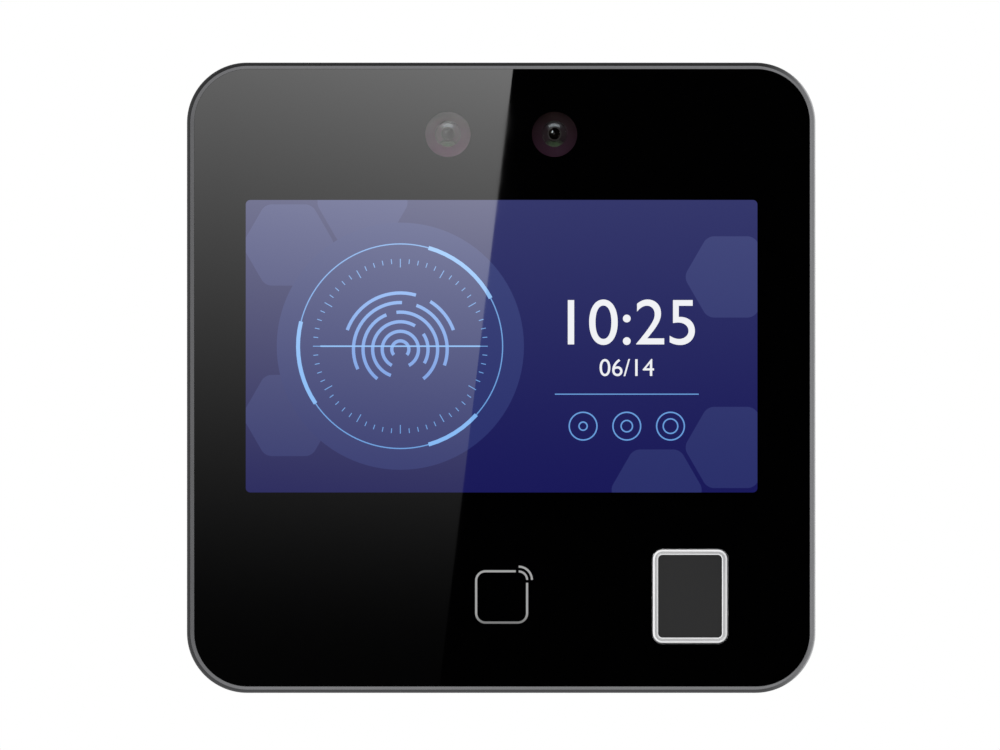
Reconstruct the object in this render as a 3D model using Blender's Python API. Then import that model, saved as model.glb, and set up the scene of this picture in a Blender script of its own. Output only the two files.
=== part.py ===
"""Wall access terminal: a glass front with a screen, two cameras, a card reader and a fingerprint sensor.

Units are metres. +X is to the right of someone facing the screen, +Z is up and the screen faces -Y.
The origin lies on the wall, behind the middle of the body, on the back face of the wall plate.
Depths run from the wall, y = 0, to the glass, so a piece's back is its higher y.
"""

import math

import bmesh
import bpy
from mathutils import Matrix, Vector

# Clearances
FIT_GAP = 0.00025  # between pieces that seat on each other
HOLE_GAP = 0.0002  # around a screw or a pin in its hole

# Roundness of the facets
CORNER_STEPS = 8  # steps in the quarter turn of a large corner
SMALL_STEPS = 4  # the same for a small corner
ROUND_STEPS = 24  # sides of a visible round piece
SCREW_STEPS = 12  # sides of a screw

# Front layout
SCREEN_WIDTH = 0.0964
SCREEN_HEIGHT = 0.0553
SCREEN_TO_SIDE = 0.0108
CAMERA_TO_TOP = 0.01335
CAMERA_TO_SCREEN = 0.01225
READER_TO_SCREEN = 0.01936
READER_TO_BOTTOM = 0.01808
CAMERA_SPACING = 0.0200
SENSOR_TO_SIDE = 0.0235
CORNER_RADIUS = 0.0113

BODY_WIDTH = SCREEN_WIDTH + 2 * SCREEN_TO_SIDE
TOP_BAND = CAMERA_TO_TOP + CAMERA_TO_SCREEN
BOTTOM_BAND = READER_TO_BOTTOM + READER_TO_SCREEN
BODY_HEIGHT = SCREEN_HEIGHT + TOP_BAND + BOTTOM_BAND
SCREEN_TOP = BODY_HEIGHT / 2 - TOP_BAND
SCREEN_BOTTOM = SCREEN_TOP - SCREEN_HEIGHT
CAMERA_Z = BODY_HEIGHT / 2 - CAMERA_TO_TOP
READER_Z = READER_TO_BOTTOM - BODY_HEIGHT / 2
SENSOR_X = BODY_WIDTH / 2 - SENSOR_TO_SIDE

# Thickness of each layer, from the wall to the front
PLATE_THICKNESS = 0.0012
HOUSING_WALL = 0.0020
REAR_SPACE = 0.0089
BOARD_THICKNESS = 0.0016
FRONT_SPACE = 0.0048
CHASSIS_THICKNESS = 0.0020
BACKLIGHT_THICKNESS = 0.0016
PANEL_THICKNESS = 0.0012
GLASS_THICKNESS = 0.0018

PLATE_FRONT = -PLATE_THICKNESS
FLOOR_BACK = PLATE_FRONT - FIT_GAP
FLOOR_FRONT = FLOOR_BACK - HOUSING_WALL
BOARD_BACK = FLOOR_FRONT - REAR_SPACE
BOARD_FRONT = BOARD_BACK - BOARD_THICKNESS
CHASSIS_BACK = BOARD_FRONT - FRONT_SPACE
CHASSIS_FRONT = CHASSIS_BACK - CHASSIS_THICKNESS
BACKLIGHT_BACK = CHASSIS_FRONT - FIT_GAP
BACKLIGHT_FRONT = BACKLIGHT_BACK - BACKLIGHT_THICKNESS
PANEL_BACK = BACKLIGHT_FRONT - FIT_GAP
PANEL_FRONT = PANEL_BACK - PANEL_THICKNESS
GLASS_BACK = PANEL_FRONT - FIT_GAP
GLASS_FRONT = GLASS_BACK - GLASS_THICKNESS

# Bezel frame
FRAME_WALL = 0.0012
FRAME_EDGE_RADIUS = 0.0006
FRAME_EDGE_STEPS = 3
FRAME_LIP_DROP = 0.0001  # lip behind the glass face
FRAME_CHAMFER = 0.0003
FRAME_OVERLAP = 0.0035  # skirt over the rear housing
SHELF_CORNER = 0.0160
TAPE_THICKNESS = 0.0005
TAPE_WIDTH = 0.0030
GUSSET_RADIUS = 0.0036
GUSSET_RECESS = 0.0002  # screw bosses behind the shelf's faces

# Display
LCD_SIDE_BORDER = 0.0045
LCD_TOP_BORDER = 0.0030
LCD_BOTTOM_BORDER = 0.0080
LCD_CLEARANCE = 0.0005
LCD_CORNER = 0.0010
BACKLIGHT_INSET = 0.0006
GLASS_EDGE = 0.0004
FLEX_THICKNESS = 0.0003
FLEX_BEND = 0.0008
FLEX_CONNECTOR_HEIGHT = 0.0015
FLEX_CONNECTOR_LENGTH = 0.0040
LCD_FLEX_WIDTH = 0.0240
LCD_FLEX_DROP = 0.0018

# Cameras and infrared lamps
CAMERA_BARREL_DIAMETER = 0.0092
CAMERA_GLASS_SPACE = 0.0005
CAMERA_HOOD_DIAMETER = 0.0062
CAMERA_LENS_DIAMETER = 0.0042
CAMERA_HOOD_DEPTH = 0.0012
CAMERA_LENS_THICKNESS = 0.0014
CAMERA_BOARD_WIDTH = 0.0380
CAMERA_BOARD_HEIGHT = 0.0120
SMALL_BOARD = 0.0010
CAMERA_FLEX_WIDTH = 0.0140
LAMP_BOARD_LENGTH = 0.0200
LAMP_BOARD_HEIGHT = 0.0070
LAMP_TO_CAMERA = 0.0220
LAMP_COUNT = 3
LAMP_PITCH = 0.0060
LAMP_RADIUS = 0.0015
LAMP_HEIGHT = 0.0008

# Fingerprint module
SENSOR_BEZEL_WIDTH = 0.01407
SENSOR_BEZEL_HEIGHT = 0.01764
SENSOR_BEZEL_BAND = 0.0011
SENSOR_BEZEL_CORNER = 0.0018
SENSOR_BEZEL_PROUD = 0.00035
SENSOR_BEZEL_EDGE = 0.00025
SENSOR_FLANGE = 0.0012
SENSOR_FLANGE_THICKNESS = 0.0009
SENSOR_RECESS = 0.0003  # window behind the bezel's crest
SENSOR_BOARD_THICKNESS = 0.0008
SENSOR_FLEX_WIDTH = 0.0060

# Card antenna
ANTENNA_WIDTH = 0.0400
ANTENNA_HEIGHT = 0.0190
ANTENNA_THICKNESS = 0.0008
ANTENNA_REST_WIDTH = 0.0280
ANTENNA_REST_HEIGHT = 0.0120

# Main board and what stands on it
BOARD_TO_SIDE = 0.0125
BOARD_ABOVE_BAY = 0.0420
BOARD_BELOW_BAY = 0.0030
BOARD_CORNER = 0.0020
BOARD_SCREW_INSET = 0.0040
STANDOFF_RADIUS = 0.0027
BOARD_SCREW_RADIUS = 0.0010
BOARD_SCREW_HEAD_RADIUS = 0.0019
BOARD_SCREW_HEAD = 0.0013
BOARD_SCREW_LENGTH = 0.0045
PROCESSOR_SIDE = 0.0150
PROCESSOR_HEIGHT = 0.0012
SHIELD_WIDTH = 0.0320
SHIELD_DEPTH = 0.0280
SHIELD_HEIGHT = 0.0028
SHIELD_WALL = 0.0004
RELAY_SIZE = (0.0150, 0.0080, 0.0075)
TRANSFORMER_SIZE = (0.0095, 0.0050, 0.0125)
CAPACITOR_RADIUS = 0.00315
CAPACITOR_HEIGHT = 0.0077
CAPACITOR_PITCH = 0.0080
BATTERY_RADIUS = 0.00625
BATTERY_THICKNESS = 0.0020
BATTERY_HOLDER_SIDE = 0.0160
BATTERY_HOLDER_HEIGHT = 0.0034
BATTERY_HOLDER_FLOOR = 0.0008
ABOVE_BAY_Z = 0.0300  # middle of the row of parts over the bay, from the bay's top
RELAY_TO_HOOK = 0.0010
RELAY_TO_CAPACITOR = 0.0010
BATTERY_TO_EDGE = 0.0165  # from the board's edge to the battery's middle
TAMPER_X = 0.0080

# Connector bay, open to the wall
BAY_WIDTH = 0.0620
BAY_HEIGHT = 0.0300
BAY_TO_READER = 0.0181  # from the reader's row up to the middle of the bay
BAY_WALL = 0.0012
BAY_CORNER = 0.0020
BAY_MARGIN = 0.0015  # from the bay's wall to what stands in it
JACK_LENGTH = 0.0155
JACK_WIDTH = 0.0160
JACK_HEIGHT = 0.0112
JACK_MOUTH_WIDTH = 0.0118
JACK_MOUTH_HEIGHT = 0.0082
JACK_MOUTH_DEPTH = 0.0120
JACK_WALL = 0.0012
JACK_LATCH_WIDTH = 0.0060
JACK_LATCH_HEIGHT = 0.0010
CONTACT_COUNT = 8
CONTACT_PITCH = 0.00102
CONTACT_THICKNESS = 0.0004
CONTACT_LENGTH = 0.0070
CONTACT_BAR = 0.0012
WIRE_POLES = 7
WIRE_PITCH = 0.00381
TERMINAL_HEIGHT = 0.0076
TERMINAL_DEPTH = 0.0090
TERMINAL_SPACE = 0.0010  # between the two blocks
WIRE_HOLE_RADIUS = 0.0011
WIRE_HOLE_DEPTH = 0.0060
RELEASE_SLOT = 0.0018
RELEASE_DEPTH = 0.0010
RESET_BODY = 0.0060
RESET_BODY_HEIGHT = 0.0035
RESET_RADIUS = 0.0017
RESET_LENGTH = 0.0030
RESET_TRAVEL = 0.0004

# Tamper switch, held in by the wall plate
TAMPER_TRAVEL = 0.0010  # left to press once the plate holds it
TAMPER_FREE_TRAVEL = 0.0015  # taken up by the plate
TAMPER_RADIUS = 0.0020
TAMPER_FLANGE_RADIUS = 0.0034
TAMPER_FLANGE = 0.0010
TAMPER_PIN_RADIUS = 0.0010
TAMPER_BODY = 0.0070
TAMPER_BODY_HEIGHT = 0.0020
SPRING_RADIUS = 0.0021
SPRING_WIRE = 0.0004
SPRING_TURNS = 3.5
SPRING_POINTS = 10  # points in each turn

# Rear housing
GASKET_THICKNESS = 0.0010
GASKET_WIDTH = 0.0014
REAR_TAPER = 0.0030
TAPER_LENGTH = 0.0070
WALL_SHADOW = 0.0005  # rim clear of the wall
RIM_WIDTH = 0.0020
SCREW_TO_EDGE = 0.0095
COLUMN_RADIUS = 0.0034
HOUSING_SCREW_RADIUS = 0.00125
HOUSING_HEAD_RADIUS = 0.0022
HOUSING_HEAD = 0.0016
HEAD_SINK = 0.0030  # depth of the head's seat below the back
SCREW_TIP_MARGIN = 0.0006  # from the screw's end to the front of the frame's shelf
CROSS_LENGTH = 0.0026
CROSS_WIDTH = 0.0006
CROSS_DEPTH = 0.0007

# Speaker, behind slots in the bottom wall
SPEAKER_TO_COLUMN = 0.0010
SPEAKER_LENGTH = 0.0180
SPEAKER_DEPTH = 0.0080
SPEAKER_HEIGHT = 0.0045
SPEAKER_GASKET = 0.0008
SPEAKER_GASKET_BAND = 0.0012
GRILLE_COUNT = 6
GRILLE_PITCH = 0.0022
GRILLE_WIDTH = 0.0010
GRILLE_LENGTH = 0.0040
LEAD_RADIUS = 0.0006
LEAD_POINTS = 18
LEAD_TO_BAY = 0.0038
LEAD_ON_BOARD = 0.0015

# Wall plate and its hooks
HOOK_WIDTH = 0.0080
HOOK_RISE = 0.0050
HOOK_TO_BAY = 0.0038
HOOK_UPPER_Z = 0.0280
HOOK_LOWER_Z = -0.0240
HOOK_SIDE_GAP = 0.0005
LIFT_TRAVEL = 0.0060
PLATE_EDGE = 0.0025  # plate beyond the hooks
PLATE_TOP = 0.0480
PLATE_CORNER = 0.0050
PLATE_WINDOW_MARGIN = 0.0010
PLATE_LIFT_SPACE = 0.0010  # left under the plate when the body is lifted
BOX_SCREW_SPACING = 0.0603
BOX_SLOT_WIDTH = 0.0044
BOX_SLOT_LENGTH = 0.0090
PLUG_HOLE_SPACING = 0.0400
PLUG_HOLE_TO_TOP = 0.0080
PLUG_HOLE_RADIUS = 0.0022

# Lock at the bottom: the plate's lip, its screw and the nut in the housing
NOTCH_WIDTH = 0.0220
NOTCH_HEIGHT = 0.0045
LIP_WIDTH = 0.0180
LIP_DEPTH = 0.0100
LIP_FRONT_SPACE = 0.0012
LOCK_BLOCK_WALL = 0.0020
LOCK_BLOCK_HEIGHT = 0.0062
LOCK_SCREW_RADIUS = 0.0015
LOCK_HEAD_RADIUS = 0.0027
LOCK_HEAD = 0.0017
LOCK_ENGAGE = 0.0040
LOCK_SOCKET_RADIUS = 0.0012
LOCK_SOCKET_DEPTH = 0.0009
NUT_RADIUS = 0.0025
NUT_HEIGHT = 0.0050

# Past a face, so that a cut goes right through, and into a piece, so that a join holds
CUT_PAST = 0.0010
JOIN_INTO = 0.0004

# Finish: colour, roughness, metallic
FINISHES = {
    "anodised": ((0.19, 0.19, 0.20), 0.32, 1.0),
    "black_glass": ((0.004, 0.004, 0.005), 0.05, 0.0),
    "display": ((0.030, 0.030, 0.110), 0.12, 0.0),
    "chrome": ((0.78, 0.78, 0.79), 0.16, 1.0),
    "sensor": ((0.030, 0.030, 0.031), 0.55, 0.0),
    "lens": ((0.010, 0.008, 0.014), 0.04, 0.0),
    "barrel": ((0.018, 0.012, 0.017), 0.45, 0.0),
    "black_plastic": ((0.020, 0.020, 0.021), 0.55, 0.0),
    "grey_plastic": ((0.10, 0.10, 0.11), 0.60, 0.0),
    "board_green": ((0.010, 0.090, 0.040), 0.50, 0.0),
    "board_black": ((0.012, 0.014, 0.014), 0.50, 0.0),
    "steel": ((0.55, 0.55, 0.56), 0.35, 1.0),
    "zinc": ((0.62, 0.62, 0.60), 0.40, 1.0),
    "brass": ((0.72, 0.53, 0.24), 0.35, 1.0),
    "gold": ((0.83, 0.61, 0.25), 0.30, 1.0),
    "copper_flex": ((0.30, 0.15, 0.04), 0.40, 0.0),
    "rubber": ((0.025, 0.025, 0.025), 0.85, 0.0),
    "terminal_green": ((0.030, 0.230, 0.080), 0.50, 0.0),
    "relay_blue": ((0.040, 0.110, 0.330), 0.45, 0.0),
    "white_plastic": ((0.72, 0.72, 0.70), 0.50, 0.0),
}


# Outlines, as (x, z) points seen from the front


def rounded_outline(width, height, radius, steps=CORNER_STEPS, centre=(0.0, 0.0)):
    radius = min(radius, width / 2, height / 2)
    corners = ((1, 1, 0), (-1, 1, 90), (-1, -1, 180), (1, -1, 270))
    points = []
    for side_x, side_z, start in corners:
        corner_x = centre[0] + side_x * (width / 2 - radius)
        corner_z = centre[1] + side_z * (height / 2 - radius)
        for step in range(steps + 1):
            angle = math.radians(start + 90 * step / steps)
            points.append((corner_x + radius * math.cos(angle), corner_z + radius * math.sin(angle)))
    return points


def body_outline(inset):
    return rounded_outline(BODY_WIDTH - 2 * inset, BODY_HEIGHT - 2 * inset, CORNER_RADIUS - inset)


def at_depth(outline, y):
    return [(x, y, z) for x, z in outline]


# Shapes, each a bmesh in world coordinates


def closed(shape):
    bmesh.ops.remove_doubles(shape, verts=shape.verts, dist=1e-7)
    bmesh.ops.recalc_face_normals(shape, faces=shape.faces)
    return shape


def stack(rings):
    """A solid through these rings, which have equally many points, capped at both ends."""
    shape = bmesh.new()
    loops = [[shape.verts.new(point) for point in ring] for ring in rings]
    for lower, upper in zip(loops, loops[1:]):
        wall_between(shape, lower, upper)
    shape.faces.new(loops[0])
    shape.faces.new(loops[-1])
    return closed(shape)


def ring_solid(rings):
    """A ring whose section runs through these rings and back to the first."""
    shape = bmesh.new()
    loops = [[shape.verts.new(point) for point in ring] for ring in rings]
    for lower, upper in zip(loops, loops[1:] + loops[:1]):
        wall_between(shape, lower, upper)
    return closed(shape)


def wall_between(shape, lower, upper):
    for a, b, c, d in zip(lower, lower[1:] + lower[:1], upper[1:] + upper[:1], upper):
        shape.faces.new((a, b, c, d))


def prism(outline, back, front):
    return stack([at_depth(outline, back), at_depth(outline, front)])


def ring_prism(outer, inner, back, front):
    outside = [at_depth(outer, back), at_depth(outer, front)]
    inside = [at_depth(inner, front), at_depth(inner, back)]
    return ring_solid(outside + inside)


def block(x_span, y_span, z_span):
    shape = bmesh.new()
    spans = (x_span, y_span, z_span)
    sizes = [span[1] - span[0] for span in spans]
    middle = [(span[0] + span[1]) / 2 for span in spans]
    place = Matrix.Translation(middle) @ Matrix.Diagonal((*sizes, 1.0))
    bmesh.ops.create_cube(shape, size=1.0, matrix=place)
    return shape


def around(middle, size):
    return (middle - size / 2, middle + size / 2)


def turned(profile, centre, along="Y", steps=ROUND_STEPS):
    """A solid of revolution from (radius, position along its axis) points, on an axis through centre."""
    axis = Vector((0, 1, 0)) if along == "Y" else Vector((0, 0, 1))
    middle = Vector(centre)
    shape = bmesh.new()
    points = [shape.verts.new(middle + Vector((radius, 0, 0)) + axis * place) for radius, place in profile]
    edges = [shape.edges.new(pair) for pair in zip(points, points[1:])]
    bmesh.ops.spin(
        shape, geom=points + edges, cent=middle, axis=axis, angle=math.tau, steps=steps, use_merge=True
    )
    return closed(shape)


def rod(centre, radius, start, end, along="Y", steps=ROUND_STEPS):
    return turned([(0, start), (radius, start), (radius, end), (0, end)], centre, along, steps)


def strip(path, width, thickness, x):
    """A flat ribbon that follows (y, z) points, width wide about x."""
    left, right = [], []
    for index, point in enumerate(path):
        before = Vector(path[max(index - 1, 0)])
        after = Vector(path[min(index + 1, len(path) - 1)])
        side = (after - before).normalized().orthogonal() * thickness / 2
        left.append(Vector(point) + side)
        right.append(Vector(point) - side)
    outline = left + right[::-1]
    return stack([[(end, y, z) for y, z in outline] for end in around(x, width)])


def bent(points, radius, steps=SMALL_STEPS):
    """(y, z) points with each inner corner turned into an arc."""
    path = [Vector(points[0])]
    for before, corner, after in zip(points, points[1:], points[2:]):
        corner = Vector(corner)
        arms = [(Vector(end) - corner).normalized() for end in (before, after)]
        half = arms[0].angle(arms[1]) / 2
        centre = corner + (arms[0] + arms[1]).normalized() * radius / math.sin(half)
        feet = [corner + arm * radius / math.tan(half) - centre for arm in arms]
        turn = feet[0].angle_signed(feet[1])
        for step in range(steps + 1):
            path.append(centre + Matrix.Rotation(-turn * step / steps, 2) @ feet[0])
    return path + [Vector(points[-1])]


# Objects


def add(name, shape, finish, parent, origin=(0, 0, 0)):
    """One sub-part: its mesh sits about its origin, and its place is its location."""
    mesh = bpy.data.meshes.new(name)
    bmesh.ops.translate(shape, verts=shape.verts, vec=-Vector(origin))
    shape.to_mesh(mesh)
    shape.free()
    mesh.shade_smooth()
    mesh.set_sharp_from_angle(angle=math.radians(35))
    part = bpy.data.objects.new(name, mesh)
    bpy.context.scene.collection.objects.link(part)
    part.location = origin
    part.parent = parent
    mesh.materials.append(material_for(name, finish))
    return part


def material_for(name, finish):
    colour, roughness, metallic = FINISHES[finish]
    material = bpy.data.materials.new(name)
    material.use_nodes = True
    shader = material.node_tree.nodes["Principled BSDF"]
    shader.inputs["Base Color"].default_value = (*colour, 1.0)
    shader.inputs["Roughness"].default_value = roughness
    shader.inputs["Metallic"].default_value = metallic
    return material


def combine(part, operation, shapes):
    """Joins or cuts shapes that don't touch each other."""
    tool_mesh = bpy.data.meshes.new("tool")
    together = bmesh.new()
    for shape in shapes:
        piece = bpy.data.meshes.new("piece")
        shape.to_mesh(piece)
        shape.free()
        together.from_mesh(piece)
        bpy.data.meshes.remove(piece)
    together.to_mesh(tool_mesh)
    together.free()
    tool = bpy.data.objects.new("tool", tool_mesh)
    bpy.context.scene.collection.objects.link(tool)
    modifier = part.modifiers.new("tool", "BOOLEAN")
    modifier.operation = operation
    modifier.object = tool
    bpy.context.view_layer.update()
    evaluated = part.evaluated_get(bpy.context.evaluated_depsgraph_get())
    result = bpy.data.meshes.new_from_object(evaluated)
    part.modifiers.clear()
    old = part.data
    part.data = result
    result.name = part.name
    bpy.data.meshes.remove(old)
    bpy.data.objects.remove(tool)
    bpy.data.meshes.remove(tool_mesh)
    result.shade_smooth()
    result.set_sharp_from_angle(angle=math.radians(35))


def cut(part, *shapes):
    combine(part, "DIFFERENCE", shapes)


def join(part, *shapes):
    combine(part, "UNION", shapes)


def empty(name):
    holder = bpy.data.objects.new(name, None)
    bpy.context.scene.collection.objects.link(holder)
    return holder


# Places that more than one piece shares

SHELF_WIDTH = SCREEN_TO_SIDE - LCD_SIDE_BORDER - LCD_CLEARANCE - FRAME_WALL
SHELF_FRONT = GLASS_BACK + FIT_GAP + TAPE_THICKNESS + FIT_GAP
SHELF_BACK = CHASSIS_FRONT - FIT_GAP
HOUSING_INSET = FRAME_WALL + FIT_GAP
HOUSING_FRONT = CHASSIS_BACK + FIT_GAP + GASKET_THICKNESS + FIT_GAP
FRAME_BACK = HOUSING_FRONT + FRAME_OVERLAP
RIM_BACK = -WALL_SHADOW
TAPER_START = RIM_BACK - TAPER_LENGTH
BOTTOM_OUTSIDE = HOUSING_INSET - BODY_HEIGHT / 2
BOTTOM_INSIDE = BOTTOM_OUTSIDE + HOUSING_WALL
LCD_WIDTH = SCREEN_WIDTH + 2 * LCD_SIDE_BORDER
LCD_TOP = SCREEN_TOP + LCD_TOP_BORDER
LCD_BOTTOM = SCREEN_BOTTOM - LCD_BOTTOM_BORDER
LCD_MIDDLE = (LCD_TOP + LCD_BOTTOM) / 2
BAY_Z = READER_Z + BAY_TO_READER
BAY_TOP = BAY_Z + BAY_HEIGHT / 2
BAY_BOTTOM = BAY_Z - BAY_HEIGHT / 2
BOARD_WIDTH = BODY_WIDTH - 2 * BOARD_TO_SIDE
BOARD_TOP = BAY_TOP + BOARD_ABOVE_BAY
BOARD_BOTTOM = BAY_BOTTOM - BOARD_BELOW_BAY
BOARD_SEAT = BOARD_BACK + FIT_GAP  # where rear-side parts stand
BOARD_FRONT_SEAT = BOARD_FRONT - FIT_GAP
PARTS_ROW = BAY_TOP + ABOVE_BAY_Z
HOOK_X = BAY_WIDTH / 2 + BAY_WALL + HOOK_TO_BAY + HOOK_WIDTH / 2
HOOK_BACK = FLOOR_FRONT - FIT_GAP
HOOK_FRONT = HOOK_BACK - PLATE_THICKNESS
BATTERY_X = BOARD_WIDTH / 2 - BATTERY_TO_EDGE
RELAY_X = HOOK_WIDTH / 2 + RELAY_TO_HOOK + RELAY_SIZE[0] / 2 - HOOK_X
CAPACITOR_X = RELAY_X + RELAY_SIZE[0] / 2 + RELAY_TO_CAPACITOR + CAPACITOR_RADIUS
SCREW_X = BODY_WIDTH / 2 - SCREW_TO_EDGE
SCREW_Z = BODY_HEIGHT / 2 - SCREW_TO_EDGE
SCREW_PLACES = [(x * SCREW_X, z * SCREW_Z) for x in (-1, 1) for z in (-1, 1)]
HEAD_SEAT = FLOOR_BACK - HEAD_SINK
BOARD_SCREW_PLACES = [
    (side * (BOARD_WIDTH / 2 - BOARD_SCREW_INSET), z)
    for side in (-1, 1)
    for z in (BOARD_BOTTOM + BOARD_SCREW_INSET, BOARD_TOP - BOARD_SCREW_INSET)
]
CAMERA_PLACES = {"left": -CAMERA_SPACING / 2, "right": CAMERA_SPACING / 2}
CAMERA_FRONT = GLASS_BACK + CAMERA_GLASS_SPACE
CAMERA_BOARD_FRONT = CHASSIS_BACK + FIT_GAP
CAMERA_BOARD_BACK = CAMERA_BOARD_FRONT + SMALL_BOARD
SENSOR_FLANGE_FRONT = GLASS_BACK + FIT_GAP
SENSOR_FLANGE_BACK = SENSOR_FLANGE_FRONT + SENSOR_FLANGE_THICKNESS
SENSOR_CREST = GLASS_FRONT - SENSOR_BEZEL_PROUD
SENSOR_BOARD_FRONT = SENSOR_FLANGE_BACK + FIT_GAP
SENSOR_BOARD_BACK = SENSOR_BOARD_FRONT + SENSOR_BOARD_THICKNESS
SENSOR_BOARD_BOTTOM = READER_Z - SENSOR_BEZEL_HEIGHT / 2 - SENSOR_FLANGE
SENSOR_SLOT_Z = SENSOR_BOARD_BOTTOM - FIT_GAP - FLEX_BEND - FLEX_THICKNESS / 2
LCD_SLOT_Z = LCD_BOTTOM - LCD_FLEX_DROP
JACK_BACK = BOARD_SEAT + JACK_HEIGHT
JACK_LEFT = BAY_MARGIN - BAY_WIDTH / 2
JACK_Z = BAY_BOTTOM + BAY_MARGIN + JACK_WIDTH / 2
TERMINAL_Z = BAY_TOP - FIT_GAP - TERMINAL_HEIGHT / 2
TERMINAL_LENGTH = WIRE_POLES * WIRE_PITCH
RESET_X = BAY_WIDTH / 2 - BAY_MARGIN - RESET_BODY / 2
RESET_Z = BAY_BOTTOM + BAY_MARGIN + RESET_BODY / 2
RECESS_INSET = HOUSING_INSET + REAR_TAPER + RIM_WIDTH
RECESS_BOTTOM = RECESS_INSET - BODY_HEIGHT / 2
PLATE_BOTTOM = RECESS_BOTTOM + LIFT_TRAVEL + PLATE_LIFT_SPACE
NOTCH_TOP = BOTTOM_OUTSIDE + NOTCH_HEIGHT
LIP_TOP = NOTCH_TOP - FIT_GAP
LIP_BOTTOM = LIP_TOP - PLATE_THICKNESS
LOCK_Y = -LIP_DEPTH / 2 - PLATE_THICKNESS / 2
NUT_BOTTOM = NOTCH_TOP + FIT_GAP
SPEAKER_X = COLUMN_RADIUS + SPEAKER_TO_COLUMN + SPEAKER_LENGTH / 2 - SCREW_X
LEAD_X = -(BAY_WIDTH / 2 + BAY_WALL + LEAD_TO_BAY)
SPEAKER_Y = TAPER_START - FIT_GAP - SPEAKER_DEPTH / 2
GRILLE_Y = (TAPER_START + FRAME_BACK) / 2
SPEAKER_SEAT = BOTTOM_INSIDE + FIT_GAP
SPEAKER_BOTTOM = SPEAKER_SEAT + SPEAKER_GASKET + FIT_GAP


# The front: frame, glass and what bonds them


def bezel_frame(parent):
    lip = GLASS_FRONT + FRAME_LIP_DROP
    edge = 2 * (FRAME_WALL + SHELF_WIDTH)
    opening = rounded_outline(BODY_WIDTH - edge, BODY_HEIGHT - edge, SHELF_CORNER)
    rings = [at_depth(body_outline(0), FRAME_BACK)]
    for step in range(FRAME_EDGE_STEPS + 1):
        angle = math.pi / 2 * step / FRAME_EDGE_STEPS
        inset = FRAME_EDGE_RADIUS * (1 - math.cos(angle))
        rings.append(at_depth(body_outline(inset), lip + FRAME_EDGE_RADIUS * (1 - math.sin(angle))))
    wall = body_outline(FRAME_WALL)
    rings += [at_depth(wall, lip + FRAME_CHAMFER), at_depth(wall, SHELF_FRONT)]
    rings += [at_depth(opening, SHELF_FRONT), at_depth(opening, SHELF_BACK)]
    rings += [at_depth(wall, SHELF_BACK), at_depth(wall, FRAME_BACK)]
    frame = add("bezel_frame", ring_solid(rings), "anodised", parent)
    boss = (SHELF_FRONT + GUSSET_RECESS, SHELF_BACK - GUSSET_RECESS)
    for x, z in SCREW_PLACES:
        join(frame, rod((x, 0, z), GUSSET_RADIUS, *boss))
    bore = HOUSING_SCREW_RADIUS + HOLE_GAP
    depth = (SHELF_FRONT + SCREW_TIP_MARGIN - FIT_GAP, SHELF_BACK + CUT_PAST)
    cut(frame, *[rod((x, 0, z), bore, *depth, steps=SCREW_STEPS) for x, z in SCREW_PLACES])


def cover_glass(parent):
    inset = FRAME_WALL + FIT_GAP
    rings = [
        at_depth(body_outline(inset), GLASS_BACK),
        at_depth(body_outline(inset), GLASS_FRONT + GLASS_EDGE),
        at_depth(body_outline(inset + GLASS_EDGE), GLASS_FRONT),
    ]
    glass = add("cover_glass", stack(rings), "black_glass", parent)
    hole = sensor_outline(FIT_GAP)
    cut(glass, prism(hole, GLASS_BACK + CUT_PAST, GLASS_FRONT - CUT_PAST))


def glass_tape(parent):
    outer = FRAME_WALL + FIT_GAP
    tape = ring_prism(
        body_outline(outer), body_outline(outer + TAPE_WIDTH), SHELF_FRONT - FIT_GAP, GLASS_BACK + FIT_GAP
    )
    add("glass_tape", tape, "rubber", parent)


# The display


def display(parent):
    outline = rounded_outline(LCD_WIDTH, LCD_TOP - LCD_BOTTOM, LCD_CORNER, SMALL_STEPS, (0, LCD_MIDDLE))
    add("lcd_panel", prism(outline, PANEL_BACK, PANEL_FRONT), "display", parent)
    inner = rounded_outline(
        LCD_WIDTH - 2 * BACKLIGHT_INSET,
        LCD_TOP - LCD_BOTTOM - 2 * BACKLIGHT_INSET,
        LCD_CORNER,
        SMALL_STEPS,
        (0, LCD_MIDDLE),
    )
    add("backlight_unit", prism(inner, BACKLIGHT_BACK, BACKLIGHT_FRONT), "white_plastic", parent)
    start = (BACKLIGHT_FRONT + BACKLIGHT_BACK) / 2
    rise = BOARD_FRONT_SEAT - FLEX_CONNECTOR_HEIGHT / 2
    connector_z = LCD_BOTTOM + FLEX_CONNECTOR_LENGTH
    route = [
        (start, LCD_BOTTOM + BACKLIGHT_INSET - FIT_GAP),
        (start, LCD_SLOT_Z),
        (rise, LCD_SLOT_Z),
        (rise, connector_z - FIT_GAP),
    ]
    add("lcd_flex", strip(bent(route, FLEX_BEND), LCD_FLEX_WIDTH, FLEX_THICKNESS, 0), "copper_flex", parent)
    connector = block(
        around(0, LCD_FLEX_WIDTH + FLEX_CONNECTOR_HEIGHT),
        (BOARD_FRONT_SEAT - FLEX_CONNECTOR_HEIGHT, BOARD_FRONT_SEAT),
        (connector_z, connector_z + FLEX_CONNECTOR_LENGTH),
    )
    add("lcd_connector", connector, "white_plastic", parent)


# The cameras and their lamps


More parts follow.
